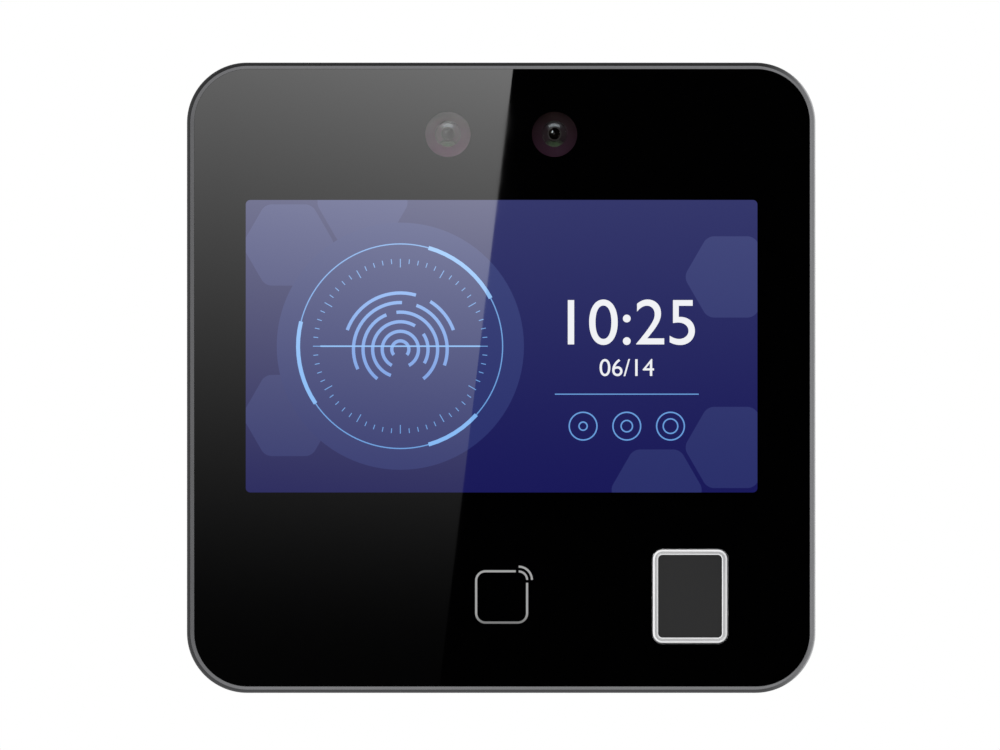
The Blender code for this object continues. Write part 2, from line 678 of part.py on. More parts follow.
def cameras(parent):
    board = block(
        around(0, CAMERA_BOARD_WIDTH),
        (CAMERA_BOARD_FRONT, CAMERA_BOARD_BACK),
        around(CAMERA_Z, CAMERA_BOARD_HEIGHT),
    )
    add("camera_board", board, "board_black", parent)
    for side, x in CAMERA_PLACES.items():
        centre = (x, 0, CAMERA_Z)
        radius = CAMERA_BARREL_DIAMETER / 2
        lens_seat = CAMERA_FRONT + CAMERA_HOOD_DEPTH
        lens_back = lens_seat + CAMERA_LENS_THICKNESS
        bore = CAMERA_LENS_DIAMETER / 2 + FIT_GAP
        profile = [
            (0, CHASSIS_BACK),
            (radius, CHASSIS_BACK),
            (radius, CAMERA_FRONT),
            (CAMERA_HOOD_DIAMETER / 2, CAMERA_FRONT),
            (bore, lens_seat),
            (bore, lens_back + FIT_GAP),
            (0, lens_back + FIT_GAP),
        ]
        add(f"{side}_camera_barrel", turned(profile, centre), "barrel", parent, origin=centre)
        edge = CAMERA_LENS_DIAMETER / 2
        dome = [(0, lens_back), (edge, lens_back), (edge, lens_seat)]
        for step in range(1, SMALL_STEPS + 1):
            angle = math.pi / 2 * step / SMALL_STEPS
            dome.append((edge * math.cos(angle), lens_seat - CAMERA_HOOD_DEPTH / 2 * math.sin(angle)))
        add(f"{side}_camera_lens", turned(dome, centre), "lens", parent, origin=centre)
    ribbon = [
        (CAMERA_BOARD_BACK + FIT_GAP + FLEX_THICKNESS / 2, CAMERA_Z),
        (CAMERA_BOARD_BACK + FIT_GAP + FLEX_THICKNESS / 2, BOARD_TOP - 2 * FLEX_BEND),
        (BOARD_FRONT_SEAT - FLEX_THICKNESS, BOARD_TOP - 2 * FLEX_BEND - FRONT_SPACE),
        (BOARD_FRONT_SEAT - FLEX_THICKNESS, BOARD_TOP - 2 * FLEX_BEND - 2 * FRONT_SPACE),
    ]
    flex = strip(bent(ribbon, FLEX_BEND), CAMERA_FLEX_WIDTH, FLEX_THICKNESS, 0)
    add("camera_flex", flex, "copper_flex", parent)


def lamps(parent):
    back = CHASSIS_FRONT - FIT_GAP
    front = back - SMALL_BOARD
    for side, sign in (("left", -1), ("right", 1)):
        middle = sign * (CAMERA_SPACING / 2 + LAMP_TO_CAMERA)
        board = block(around(middle, LAMP_BOARD_LENGTH), (front, back), around(CAMERA_Z, LAMP_BOARD_HEIGHT))
        lamp_board = add(f"{side}_infrared_board", board, "board_black", parent)
        for index in range(LAMP_COUNT):
            x = middle + (index - (LAMP_COUNT - 1) / 2) * LAMP_PITCH
            depth = (front - LAMP_HEIGHT, front + JOIN_INTO)
            join(lamp_board, rod((x, 0, CAMERA_Z), LAMP_RADIUS, *depth, steps=SCREW_STEPS))


# The fingerprint module and the card antenna


def sensor_outline(grow):
    return rounded_outline(
        SENSOR_BEZEL_WIDTH + 2 * grow,
        SENSOR_BEZEL_HEIGHT + 2 * grow,
        SENSOR_BEZEL_CORNER + grow,
        SMALL_STEPS,
        (SENSOR_X, READER_Z),
    )


def fingerprint_module(parent):
    centre = (SENSOR_X, GLASS_FRONT, READER_Z)
    window = sensor_outline(-SENSOR_BEZEL_BAND)
    rings = [
        at_depth(sensor_outline(SENSOR_FLANGE), SENSOR_FLANGE_BACK),
        at_depth(sensor_outline(SENSOR_FLANGE), SENSOR_FLANGE_FRONT),
        at_depth(sensor_outline(0), SENSOR_FLANGE_FRONT),
        at_depth(sensor_outline(0), SENSOR_CREST + SENSOR_BEZEL_EDGE),
        at_depth(sensor_outline(-SENSOR_BEZEL_EDGE), SENSOR_CREST),
        at_depth(sensor_outline(SENSOR_BEZEL_EDGE - SENSOR_BEZEL_BAND), SENSOR_CREST),
        at_depth(window, SENSOR_CREST + SENSOR_BEZEL_EDGE),
        at_depth(window, SENSOR_FLANGE_BACK),
    ]
    add("fingerprint_bezel", ring_solid(rings), "chrome", parent, origin=centre)
    pad = sensor_outline(-SENSOR_BEZEL_BAND - FIT_GAP)
    sensor = prism(pad, SENSOR_FLANGE_BACK, SENSOR_CREST + SENSOR_RECESS)
    add("fingerprint_sensor", sensor, "sensor", parent, origin=centre)
    board = prism(sensor_outline(SENSOR_FLANGE), SENSOR_BOARD_BACK, SENSOR_BOARD_FRONT)
    add("fingerprint_board", board, "board_green", parent, origin=centre)
    foam = prism(sensor_outline(-SENSOR_BEZEL_BAND), CHASSIS_FRONT - FIT_GAP, SENSOR_BOARD_BACK + FIT_GAP)
    add("fingerprint_foam", foam, "rubber", parent, origin=centre)
    start = (SENSOR_BOARD_FRONT + SENSOR_BOARD_BACK) / 2
    end = BOARD_FRONT_SEAT - FLEX_THICKNESS
    route = [
        (start, SENSOR_BOARD_BOTTOM - FIT_GAP),
        (start, SENSOR_SLOT_Z),
        (end, SENSOR_SLOT_Z),
        (end, BOARD_BOTTOM + FRONT_SPACE),
    ]
    ribbon = strip(bent(route, FLEX_BEND), SENSOR_FLEX_WIDTH, FLEX_THICKNESS, SENSOR_X)
    add("fingerprint_flex", ribbon, "copper_flex", parent)


def card_antenna(parent):
    front = GLASS_BACK + FIT_GAP
    outline = rounded_outline(ANTENNA_WIDTH, ANTENNA_HEIGHT, BOARD_CORNER, SMALL_STEPS, (0, READER_Z))
    add("card_antenna", prism(outline, front + ANTENNA_THICKNESS, front), "board_green", parent)


# The chassis that carries the display and the boards


def inner_chassis(parent):
    plate = prism(body_outline(HOUSING_INSET), CHASSIS_BACK, CHASSIS_FRONT)
    chassis = add("inner_chassis", plate, "grey_plastic", parent)
    rest_front = GLASS_BACK + 2 * FIT_GAP + ANTENNA_THICKNESS
    rest = block(
        around(0, ANTENNA_REST_WIDTH),
        (rest_front, CHASSIS_FRONT + JOIN_INTO),
        around(READER_Z, ANTENNA_REST_HEIGHT),
    )
    standoffs = [
        rod((x, 0, z), STANDOFF_RADIUS, CHASSIS_BACK - JOIN_INTO, BOARD_FRONT_SEAT, steps=SCREW_STEPS)
        for x, z in BOARD_SCREW_PLACES
    ]
    join(chassis, rest, *standoffs)
    through = (CHASSIS_FRONT - CUT_PAST, CHASSIS_BACK + CUT_PAST)
    barrel_hole = CAMERA_BARREL_DIAMETER / 2 + FIT_GAP
    cuts = [rod((x, 0, CAMERA_Z), barrel_hole, *through) for x in CAMERA_PLACES.values()]
    screw_hole = HOUSING_SCREW_RADIUS + HOLE_GAP
    cuts += [rod((x, 0, z), screw_hole, *through, steps=SCREW_STEPS) for x, z in SCREW_PLACES]
    slot = 2 * FLEX_BEND + FLEX_THICKNESS
    cuts.append(block(around(0, LCD_FLEX_WIDTH + slot), through, around(LCD_SLOT_Z, slot)))
    cuts.append(block(around(SENSOR_X, SENSOR_FLEX_WIDTH + slot), through, around(SENSOR_SLOT_Z, slot)))
    board_hole = BOARD_SCREW_RADIUS + HOLE_GAP
    hole_front = BOARD_BACK - BOARD_SCREW_LENGTH - FIT_GAP
    for x, z in BOARD_SCREW_PLACES:
        cuts.append(rod((x, 0, z), board_hole, hole_front, BOARD_FRONT_SEAT + CUT_PAST, steps=SCREW_STEPS))
    cut(chassis, *cuts)


# The main board


def screw(name, centre, radius, tip, head_radius, head_front, head_back, parent, finish="steel"):
    """A pan-head screw along Y with a cross recess in its head."""
    profile = [(0, tip), (radius, tip), (radius, head_front), (head_radius, head_front)]
    profile += [(head_radius, head_back), (0, head_back)]
    part = add(name, turned(profile, centre, steps=SCREW_STEPS), finish, parent, origin=centre)
    length = head_radius * CROSS_LENGTH / HOUSING_HEAD_RADIUS
    depth = (head_back - CROSS_DEPTH, head_back + CUT_PAST)
    x, _, z = centre
    cut(part, block(around(x, length), depth, around(z, CROSS_WIDTH)))
    cut(part, block(around(x, CROSS_WIDTH), depth, around(z, length)))


def main_board(parent):
    outline = rounded_outline(
        BOARD_WIDTH, BOARD_TOP - BOARD_BOTTOM, BOARD_CORNER, SMALL_STEPS, (0, (BOARD_TOP + BOARD_BOTTOM) / 2)
    )
    board = add("main_board", prism(outline, BOARD_BACK, BOARD_FRONT), "board_green", parent)
    hole = BOARD_SCREW_RADIUS + HOLE_GAP
    through = (BOARD_FRONT - CUT_PAST, BOARD_BACK + CUT_PAST)
    cut(board, *[rod((x, 0, z), hole, *through, steps=SCREW_STEPS) for x, z in BOARD_SCREW_PLACES])
    for index, (x, z) in enumerate(BOARD_SCREW_PLACES, 1):
        screw(
            f"board_screw_{index}",
            (x, 0, z),
            BOARD_SCREW_RADIUS,
            BOARD_BACK - BOARD_SCREW_LENGTH,
            BOARD_SCREW_HEAD_RADIUS,
            BOARD_SEAT,
            BOARD_SEAT + BOARD_SCREW_HEAD,
            parent,
        )


def processor(parent):
    middle = (BOARD_TOP + BOARD_BOTTOM) / 2
    back = BOARD_FRONT_SEAT
    chip = block(around(0, PROCESSOR_SIDE), (back - PROCESSOR_HEIGHT, back), around(middle, PROCESSOR_SIDE))
    add("processor", chip, "black_plastic", parent)
    can = block(around(0, SHIELD_WIDTH), (back - SHIELD_HEIGHT, back), around(middle, SHIELD_DEPTH))
    shield = add("shield_can", can, "zinc", parent)
    hollow = block(
        around(0, SHIELD_WIDTH - 2 * SHIELD_WALL),
        (back - SHIELD_HEIGHT + SHIELD_WALL, back + CUT_PAST),
        around(middle, SHIELD_DEPTH - 2 * SHIELD_WALL),
    )
    cut(shield, hollow)


def stood_on_board(size, x, z):
    """A block on the rear side of the main board, of a size across, off the board and up."""
    return block(around(x, size[0]), (BOARD_SEAT, BOARD_SEAT + size[1]), around(z, size[2]))


def board_parts(parent):
    add("lock_relay", stood_on_board(RELAY_SIZE, RELAY_X, PARTS_ROW), "relay_blue", parent)
    transformer_x = -(BAY_WIDTH / 2 + BAY_WALL + FIT_GAP + TRANSFORMER_SIZE[0] / 2)
    transformer = stood_on_board(TRANSFORMER_SIZE, transformer_x, BAY_Z)
    add("network_transformer", transformer, "black_plastic", parent)
    for index in range(2):
        x = CAPACITOR_X + index * CAPACITOR_PITCH
        can = rod((x, 0, PARTS_ROW), CAPACITOR_RADIUS, BOARD_SEAT, BOARD_SEAT + CAPACITOR_HEIGHT)
        add(f"supply_capacitor_{index + 1}", can, "zinc", parent, origin=(x, 0, PARTS_ROW))
    cradle = (BATTERY_HOLDER_SIDE, BATTERY_HOLDER_HEIGHT, BATTERY_HOLDER_SIDE)
    holder = add("battery_holder", stood_on_board(cradle, BATTERY_X, PARTS_ROW), "black_plastic", parent)
    seat = BOARD_SEAT + BATTERY_HOLDER_FLOOR
    centre = (BATTERY_X, 0, PARTS_ROW)
    cut(holder, rod(centre, BATTERY_RADIUS + FIT_GAP, seat, BOARD_SEAT + BATTERY_HOLDER_HEIGHT + CUT_PAST))
    cell = rod(centre, BATTERY_RADIUS, seat + FIT_GAP, seat + FIT_GAP + BATTERY_THICKNESS)
    add("clock_battery", cell, "steel", parent, origin=centre)


# What stands in the connector bay


def ethernet_jack(parent):
    right = JACK_LEFT + JACK_LENGTH
    body = block((JACK_LEFT, right), (BOARD_SEAT, JACK_BACK), around(JACK_Z, JACK_WIDTH))
    jack = add("ethernet_jack", body, "black_plastic", parent)
    mouth_y = (BOARD_SEAT + JACK_WALL, BOARD_SEAT + JACK_WALL + JACK_MOUTH_HEIGHT)
    mouth_x = (right - JACK_MOUTH_DEPTH, right + CUT_PAST)
    cut(jack, block(mouth_x, mouth_y, around(JACK_Z, JACK_MOUTH_WIDTH)))
    latch_y = (mouth_y[1] - CUT_PAST, mouth_y[1] + JACK_LATCH_HEIGHT)
    cut(jack, block(mouth_x, latch_y, around(JACK_Z, JACK_LATCH_WIDTH)))
    comb_y = (mouth_y[0] + FIT_GAP, mouth_y[0] + FIT_GAP + CONTACT_THICKNESS)
    root = mouth_x[0] + FIT_GAP
    width = (CONTACT_COUNT - 1) * CONTACT_PITCH + CONTACT_THICKNESS
    bar = block((root, root + CONTACT_BAR), comb_y, around(JACK_Z, width))
    comb = add("jack_contacts", bar, "gold", parent)
    for index in range(CONTACT_COUNT):
        z = JACK_Z + (index - (CONTACT_COUNT - 1) / 2) * CONTACT_PITCH
        finger_x = (root + CONTACT_BAR - JOIN_INTO, root + CONTACT_LENGTH)
        join(comb, block(finger_x, comb_y, around(z, CONTACT_THICKNESS)))


def terminal_blocks(parent):
    back = BOARD_SEAT + TERMINAL_DEPTH
    for side, sign in (("left", -1), ("right", 1)):
        middle = sign * (TERMINAL_LENGTH + TERMINAL_SPACE) / 2
        x_span = around(middle, TERMINAL_LENGTH)
        body = block(x_span, (BOARD_SEAT, back), around(TERMINAL_Z, TERMINAL_HEIGHT))
        part = add(f"{side}_terminal_block", body, "terminal_green", parent)
        holes = []
        for pole in range(WIRE_POLES):
            x = middle + (pole - (WIRE_POLES - 1) / 2) * WIRE_PITCH
            hole_z = TERMINAL_Z - TERMINAL_HEIGHT / 5
            slot_z = TERMINAL_Z + TERMINAL_HEIGHT / 4
            hole_depth = (back - WIRE_HOLE_DEPTH, back + CUT_PAST)
            holes.append(rod((x, 0, hole_z), WIRE_HOLE_RADIUS, *hole_depth, steps=SCREW_STEPS))
            slot_depth = (back - RELEASE_DEPTH, back + CUT_PAST)
            holes.append(block(around(x, RELEASE_SLOT), slot_depth, around(slot_z, RELEASE_SLOT)))
        cut(part, *holes)


def reset_switch(parent):
    centre = (RESET_X, 0, RESET_Z)
    top = BOARD_SEAT + RESET_BODY_HEIGHT
    body = block(around(RESET_X, RESET_BODY), (BOARD_SEAT, top), around(RESET_Z, RESET_BODY))
    switch = add("reset_switch", body, "black_plastic", parent)
    sunk = top - RESET_BODY_HEIGHT / 2
    cut(switch, rod(centre, RESET_RADIUS + HOLE_GAP, sunk, top + CUT_PAST, steps=SCREW_STEPS))
    front = sunk + RESET_TRAVEL + FIT_GAP
    button = rod(centre, RESET_RADIUS, front, front + RESET_LENGTH, steps=SCREW_STEPS)
    add("reset_button", button, "white_plastic", parent, origin=centre)


# The tamper switch


def tamper_switch(parent):
    centre = (TAMPER_X, 0, PARTS_ROW)
    body_back = BOARD_SEAT + TAMPER_BODY_HEIGHT
    body = block(around(TAMPER_X, TAMPER_BODY), (BOARD_SEAT, body_back), around(PARTS_ROW, TAMPER_BODY))
    add("tamper_switch", body, "black_plastic", parent)
    flange_back = FLOOR_FRONT - TAMPER_FREE_TRAVEL
    flange_front = flange_back - TAMPER_FLANGE
    pin_front = body_back + TAMPER_TRAVEL + FIT_GAP
    profile = [
        (0, pin_front),
        (TAMPER_PIN_RADIUS, pin_front),
        (TAMPER_PIN_RADIUS, flange_front),
        (TAMPER_FLANGE_RADIUS, flange_front),
        (TAMPER_FLANGE_RADIUS, flange_back),
        (TAMPER_RADIUS, flange_back),
        (TAMPER_RADIUS, FLOOR_BACK),
        (0, FLOOR_BACK),
    ]
    add("tamper_plunger", turned(profile, centre), "white_plastic", parent, origin=centre)
    tamper_spring(centre, body_back + FIT_GAP, flange_front - FIT_GAP, parent)


def tamper_spring(centre, front, back, parent):
    wire = SPRING_WIRE / 2
    length = back - front - SPRING_WIRE
    count = round(SPRING_TURNS * SPRING_POINTS)
    points = []
    for step in range(count + 1):
        angle = math.tau * SPRING_TURNS * step / count
        y = front + wire + length * step / count
        x = centre[0] + SPRING_RADIUS * math.cos(angle)
        points.append(Vector((x, y, centre[2] + SPRING_RADIUS * math.sin(angle))))
    half_turn = SPRING_POINTS // 2
    nearest = min((a - b).length for i, a in enumerate(points) for b in points[i + half_turn :])
    print(f"tamper_spring: least gap between turns {1000 * (nearest - SPRING_WIRE):.2f} mm")
    tube("tamper_spring", points, wire, "steel", parent, resolution=1)


def tube(name, points, radius, finish, parent, resolution=2):
    curve = bpy.data.curves.new(name, "CURVE")
    curve.dimensions = "3D"
    curve.bevel_depth = radius
    curve.bevel_resolution = resolution
    curve.use_fill_caps = True
    spline = curve.splines.new("POLY")
    spline.points.add(len(points) - 1)
    for target, point in zip(spline.points, points):
        target.co = (*point, 1.0)
    curve.materials.append(material_for(name, finish))
    part = bpy.data.objects.new(name, curve)
    bpy.context.scene.collection.objects.link(part)
    part.parent = parent


# The speaker


def speaker(parent):
    y_span = around(SPEAKER_Y, SPEAKER_DEPTH)
    ring_x = around(SPEAKER_X, SPEAKER_LENGTH)
    seat = (SPEAKER_SEAT, SPEAKER_SEAT + SPEAKER_GASKET)
    gasket = add("speaker_gasket", block(ring_x, y_span, seat), "rubber", parent)
    inside = block(
        around(SPEAKER_X, SPEAKER_LENGTH - 2 * SPEAKER_GASKET_BAND),
        around(SPEAKER_Y, SPEAKER_DEPTH - 2 * SPEAKER_GASKET_BAND),
        (seat[0] - CUT_PAST, seat[1] + CUT_PAST),
    )
    cut(gasket, inside)
    top = SPEAKER_BOTTOM + SPEAKER_HEIGHT
    add("speaker", block(ring_x, y_span, (SPEAKER_BOTTOM, top)), "black_plastic", parent)
    start = Vector((LEAD_X, SPEAKER_Y, top + FIT_GAP))
    end = Vector((LEAD_X, BOARD_SEAT + LEAD_RADIUS, BOARD_BOTTOM + LEAD_ON_BOARD))
    rise = Vector((0, 0, (end.z - start.z) / 3))
    points = []
    for step in range(LEAD_POINTS):
        t = step / (LEAD_POINTS - 1)
        mixed = (1 - t) ** 3 * start + 3 * (1 - t) ** 2 * t * (start + rise)
        points.append(mixed + 3 * (1 - t) * t**2 * (end - rise) + t**3 * end)
    tube("speaker_lead", points, LEAD_RADIUS, "rubber", parent)


# The rear housing


def rear_housing(parent):
    taper_share = (FLOOR_FRONT - TAPER_START) / (RIM_BACK - TAPER_START)
    outside = [
        at_depth(body_outline(HOUSING_INSET), HOUSING_FRONT),
        at_depth(body_outline(HOUSING_INSET), TAPER_START),
        at_depth(body_outline(HOUSING_INSET + REAR_TAPER), RIM_BACK),
    ]
    housing = add("rear_housing", stack(outside), "black_plastic", parent)
    wall = HOUSING_INSET + HOUSING_WALL
    inside = [
        at_depth(body_outline(wall), HOUSING_FRONT - CUT_PAST),
        at_depth(body_outline(wall), TAPER_START),
        at_depth(body_outline(wall + REAR_TAPER * taper_share), FLOOR_FRONT),
    ]
    cut(housing, stack(inside))
    cut(housing, prism(body_outline(RECESS_INSET), RIM_BACK + CUT_PAST, FLOOR_BACK))
    tongue_z = (NOTCH_TOP - CUT_PAST, RECESS_BOTTOM + CUT_PAST)
    cut(housing, block(around(0, NOTCH_WIDTH), (FLOOR_BACK, CUT_PAST), tongue_z))
    for x, z in SCREW_PLACES:
        column = rod((x, 0, z), COLUMN_RADIUS, CHASSIS_BACK + FIT_GAP, FLOOR_FRONT + JOIN_INTO)
        join(housing, column)
    bay_outer = rounded_outline(
        BAY_WIDTH + 2 * BAY_WALL, BAY_HEIGHT + 2 * BAY_WALL, BAY_CORNER + BAY_WALL, SMALL_STEPS, (0, BAY_Z)
    )
    join(housing, prism(bay_outer, FLOOR_FRONT + JOIN_INTO, BOARD_SEAT))
    join(housing, lock_block())
    cut(housing, *housing_openings())
    cut(housing, rod((0, LOCK_Y, 0), NUT_RADIUS + HOLE_GAP, NOTCH_TOP - CUT_PAST, nut_pocket_top(), "Z"))


def lock_block():
    half = NOTCH_WIDTH / 2 + LOCK_BLOCK_WALL
    front = -LIP_DEPTH - LIP_FRONT_SPACE - LOCK_BLOCK_WALL
    depth = (front, FLOOR_FRONT + JOIN_INTO)
    return block((-half, half), depth, (BOTTOM_INSIDE - JOIN_INTO, NOTCH_TOP + LOCK_BLOCK_HEIGHT))


def nut_pocket_top():
    return NUT_BOTTOM + NUT_HEIGHT + FIT_GAP


def housing_openings():
    """Everything that is cut through the housing once it is whole, none of it touching another cut."""
    bay = rounded_outline(BAY_WIDTH, BAY_HEIGHT, BAY_CORNER, SMALL_STEPS, (0, BAY_Z))
    cuts = [prism(bay, FLOOR_BACK + CUT_PAST, BOARD_SEAT - CUT_PAST)]
    notch_depth = (-LIP_DEPTH - LIP_FRONT_SPACE, CUT_PAST)
    notch = block(around(0, NOTCH_WIDTH), notch_depth, (BOTTOM_OUTSIDE - CUT_PAST, NOTCH_TOP))
    cuts.append(notch)
    bore, head = HOUSING_SCREW_RADIUS + HOLE_GAP, HOUSING_HEAD_RADIUS + FIT_GAP
    for x, z in SCREW_PLACES:
        stepped = [(0, CHASSIS_BACK), (bore, CHASSIS_BACK), (bore, HEAD_SEAT), (head, HEAD_SEAT)]
        stepped += [(head, FLOOR_BACK + CUT_PAST), (0, FLOOR_BACK + CUT_PAST)]
        cuts.append(turned(stepped, (x, 0, z), steps=SCREW_STEPS))
    slot_width = HOOK_WIDTH + 2 * HOOK_SIDE_GAP
    through = (FLOOR_FRONT - CUT_PAST, FLOOR_BACK + CUT_PAST)
    for x, z in hook_places():
        slot = (z - LIFT_TRAVEL - FIT_GAP, z + PLATE_THICKNESS + FIT_GAP)
        cuts.append(block(around(x, slot_width), through, slot))
    cuts.append(rod((TAMPER_X, 0, PARTS_ROW), TAMPER_RADIUS + HOLE_GAP, *through))
    for index in range(GRILLE_COUNT):
        x = SPEAKER_X + (index - (GRILLE_COUNT - 1) / 2) * GRILLE_PITCH
        slot_z = (BOTTOM_OUTSIDE - CUT_PAST, BOTTOM_INSIDE + CUT_PAST)
        cuts.append(block(around(x, GRILLE_WIDTH), around(GRILLE_Y, GRILLE_LENGTH), slot_z))
    return cuts


def housing_gasket(parent):
    outer = HOUSING_INSET + (HOUSING_WALL - GASKET_WIDTH) / 2
    front = CHASSIS_BACK + FIT_GAP
    inner = outer + GASKET_WIDTH
    ring = ring_prism(body_outline(outer), body_outline(inner), front + GASKET_THICKNESS, front)
    add("housing_gasket", ring, "rubber", parent)


def housing_screws(parent):
    for index, (x, z) in enumerate(SCREW_PLACES, 1):
        screw(
            f"housing_screw_{index}",
            (x, 0, z),
            HOUSING_SCREW_RADIUS,
            SHELF_FRONT + SCREW_TIP_MARGIN,
            HOUSING_HEAD_RADIUS,
            HEAD_SEAT + FIT_GAP,
            HEAD_SEAT + FIT_GAP + HOUSING_HEAD,
            parent,
        )


def screw_insert(parent):
    centre = (0, LOCK_Y, 0)
    inner = LOCK_SCREW_RADIUS + HOLE_GAP
    top = NUT_BOTTOM + NUT_HEIGHT
    profile = [(inner, NUT_BOTTOM), (NUT_RADIUS, NUT_BOTTOM), (NUT_RADIUS, top), (inner, top)]
    profile.append(profile[0])
    add("screw_insert", turned(profile, centre, "Z"), "brass", parent, origin=centre)


# The wall plate and the screw that locks the body to it


def hook_places():
    return [(side * HOOK_X, z) for side in (-1, 1) for z in (HOOK_LOWER_Z, HOOK_UPPER_Z)]


def wall_plate(parent):
    width = 2 * (HOOK_X + HOOK_WIDTH / 2 + PLATE_EDGE)
    middle = (0, (PLATE_TOP + PLATE_BOTTOM) / 2)
    outline = rounded_outline(width, PLATE_TOP - PLATE_BOTTOM, PLATE_CORNER, SMALL_STEPS, middle)
    plate = add("wall_plate", prism(outline, 0, PLATE_FRONT), "zinc", parent)
    tongue = block(around(0, LIP_WIDTH), (PLATE_FRONT, 0), (LIP_BOTTOM, PLATE_BOTTOM + JOIN_INTO))
    join(plate, tongue)
    join(plate, block(around(0, LIP_WIDTH), (-LIP_DEPTH, PLATE_FRONT + JOIN_INTO), (LIP_BOTTOM, LIP_TOP)))
    for x, z in hook_places():
        across = around(x, HOOK_WIDTH)
        join(plate, block(across, (HOOK_FRONT, PLATE_FRONT + JOIN_INTO), (z, z + PLATE_THICKNESS)))
        upright = (z, z + PLATE_THICKNESS + HOOK_RISE)
        join(plate, block(across, (HOOK_FRONT, HOOK_BACK), upright))
    through = (PLATE_FRONT - CUT_PAST, CUT_PAST)
    window = rounded_outline(
        BAY_WIDTH + 2 * PLATE_WINDOW_MARGIN,
        BAY_HEIGHT + 2 * PLATE_WINDOW_MARGIN,
        BAY_CORNER,
        SMALL_STEPS,
        (0, BAY_Z),
    )
    cuts = [prism(window, through[1], through[0])]
    for sign in (-1, 1):
        slot = rounded_outline(
            BOX_SLOT_LENGTH,
            BOX_SLOT_WIDTH,
            BOX_SLOT_WIDTH / 2,
            SMALL_STEPS,
            (sign * BOX_SCREW_SPACING / 2, 0),
        )
        cuts.append(prism(slot, through[1], through[0]))
        plug = (sign * PLUG_HOLE_SPACING / 2, 0, PLATE_TOP - PLUG_HOLE_TO_TOP)
        cuts.append(rod(plug, PLUG_HOLE_RADIUS, *through))
    for x, z in hook_places():
        blank = (z + PLATE_THICKNESS + FIT_GAP, z + PLATE_THICKNESS + HOOK_RISE + PLATE_THICKNESS)
        cuts.append(block(around(x, HOOK_WIDTH), (PLATE_FRONT - FIT_GAP, CUT_PAST), blank))
    hole = LOCK_SCREW_RADIUS + HOLE_GAP
    cuts.append(rod((0, LOCK_Y, 0), hole, LIP_BOTTOM - CUT_PAST, LIP_TOP + CUT_PAST, "Z", SCREW_STEPS))
    cut(plate, *cuts)


def security_screw(parent):
    centre = (0, LOCK_Y, 0)
    head_top = LIP_BOTTOM - FIT_GAP
    head_bottom = head_top - LOCK_HEAD
    tip = NOTCH_TOP + LOCK_ENGAGE
    profile = [(0, head_bottom), (LOCK_HEAD_RADIUS, head_bottom), (LOCK_HEAD_RADIUS, head_top)]
    profile += [(LOCK_SCREW_RADIUS, head_top), (LOCK_SCREW_RADIUS, tip), (0, tip)]
    part = add("security_screw", turned(profile, centre, "Z"), "steel", parent, origin=centre)
    socket_top = head_bottom + LOCK_SOCKET_DEPTH
    cut(part, rod(centre, LOCK_SOCKET_RADIUS, head_bottom - CUT_PAST, socket_top, "Z", steps=6))


def main():
    for leftover in list(bpy.data.objects):
        bpy.data.objects.remove(leftover)
    wall_side = empty("wall_side")
    terminal = empty("terminal")
    terminal.parent = wall_side
    bezel_frame(terminal)
    cover_glass(terminal)
    glass_tape(terminal)
    display(terminal)
    cameras(terminal)
    lamps(terminal)
    fingerprint_module(terminal)
    card_antenna(terminal)
    inner_chassis(terminal)
    main_board(terminal)
    processor(terminal)
    board_parts(terminal)
    ethernet_jack(terminal)
    terminal_blocks(terminal)
    reset_switch(terminal)
    tamper_switch(terminal)
    speaker(terminal)
    rear_housing(terminal)
    housing_gasket(terminal)
    housing_screws(terminal)
    screw_insert(terminal)
    wall_plate(wall_side)
    security_screw(wall_side)


main()
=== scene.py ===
import math
import random

import bmesh
import bpy
from mathutils import Matrix, Vector


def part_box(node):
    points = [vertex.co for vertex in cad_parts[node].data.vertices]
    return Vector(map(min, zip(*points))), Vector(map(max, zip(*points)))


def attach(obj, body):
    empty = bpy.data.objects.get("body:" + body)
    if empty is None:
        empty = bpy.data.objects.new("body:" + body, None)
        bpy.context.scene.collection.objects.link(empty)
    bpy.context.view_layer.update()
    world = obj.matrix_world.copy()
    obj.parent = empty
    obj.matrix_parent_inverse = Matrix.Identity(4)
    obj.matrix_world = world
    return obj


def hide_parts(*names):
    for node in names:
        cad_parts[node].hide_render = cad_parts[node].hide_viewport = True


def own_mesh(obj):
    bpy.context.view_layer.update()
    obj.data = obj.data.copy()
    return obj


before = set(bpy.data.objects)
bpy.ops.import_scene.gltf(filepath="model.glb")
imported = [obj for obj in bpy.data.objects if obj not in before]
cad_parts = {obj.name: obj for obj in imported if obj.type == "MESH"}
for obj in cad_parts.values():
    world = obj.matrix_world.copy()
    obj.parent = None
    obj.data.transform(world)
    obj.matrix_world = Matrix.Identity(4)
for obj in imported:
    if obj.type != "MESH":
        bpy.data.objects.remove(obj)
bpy.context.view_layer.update()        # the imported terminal, metres, screen towards -Y
scene = bpy.context.scene
tiny = 1e-6              # points closer than this are one point
print("frame loaded:", len(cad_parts), "nodes")


# mesh steps

def around(middle, size):
    return (middle - size / 2, middle + size / 2)


def middleOf(low, high):
    # x and z of the middle of a box
    return ((low.x + high.x) / 2, (low.z + high.z) / 2)


def everything(bm):
    return bm.verts[:] + bm.edges[:] + bm.faces[:]


def frontPlace(center, y):
    # lays a flat shape against the front
    return Matrix.Translation((center[0], y, center[1])) @ Matrix.Rotation(math.radians(90), 4, "X")


def addSquare(bm, place, size=1.0):
    return bmesh.ops.create_grid(bm, x_segments=1, y_segments=1, size=size / 2, matrix=place)["verts"]


def roundCorners(bm, corners, radius, steps):
    bmesh.ops.bevel(bm, geom=corners, offset=radius, segments=steps, profile=0.5, affect="VERTICES",
                    material=-1)


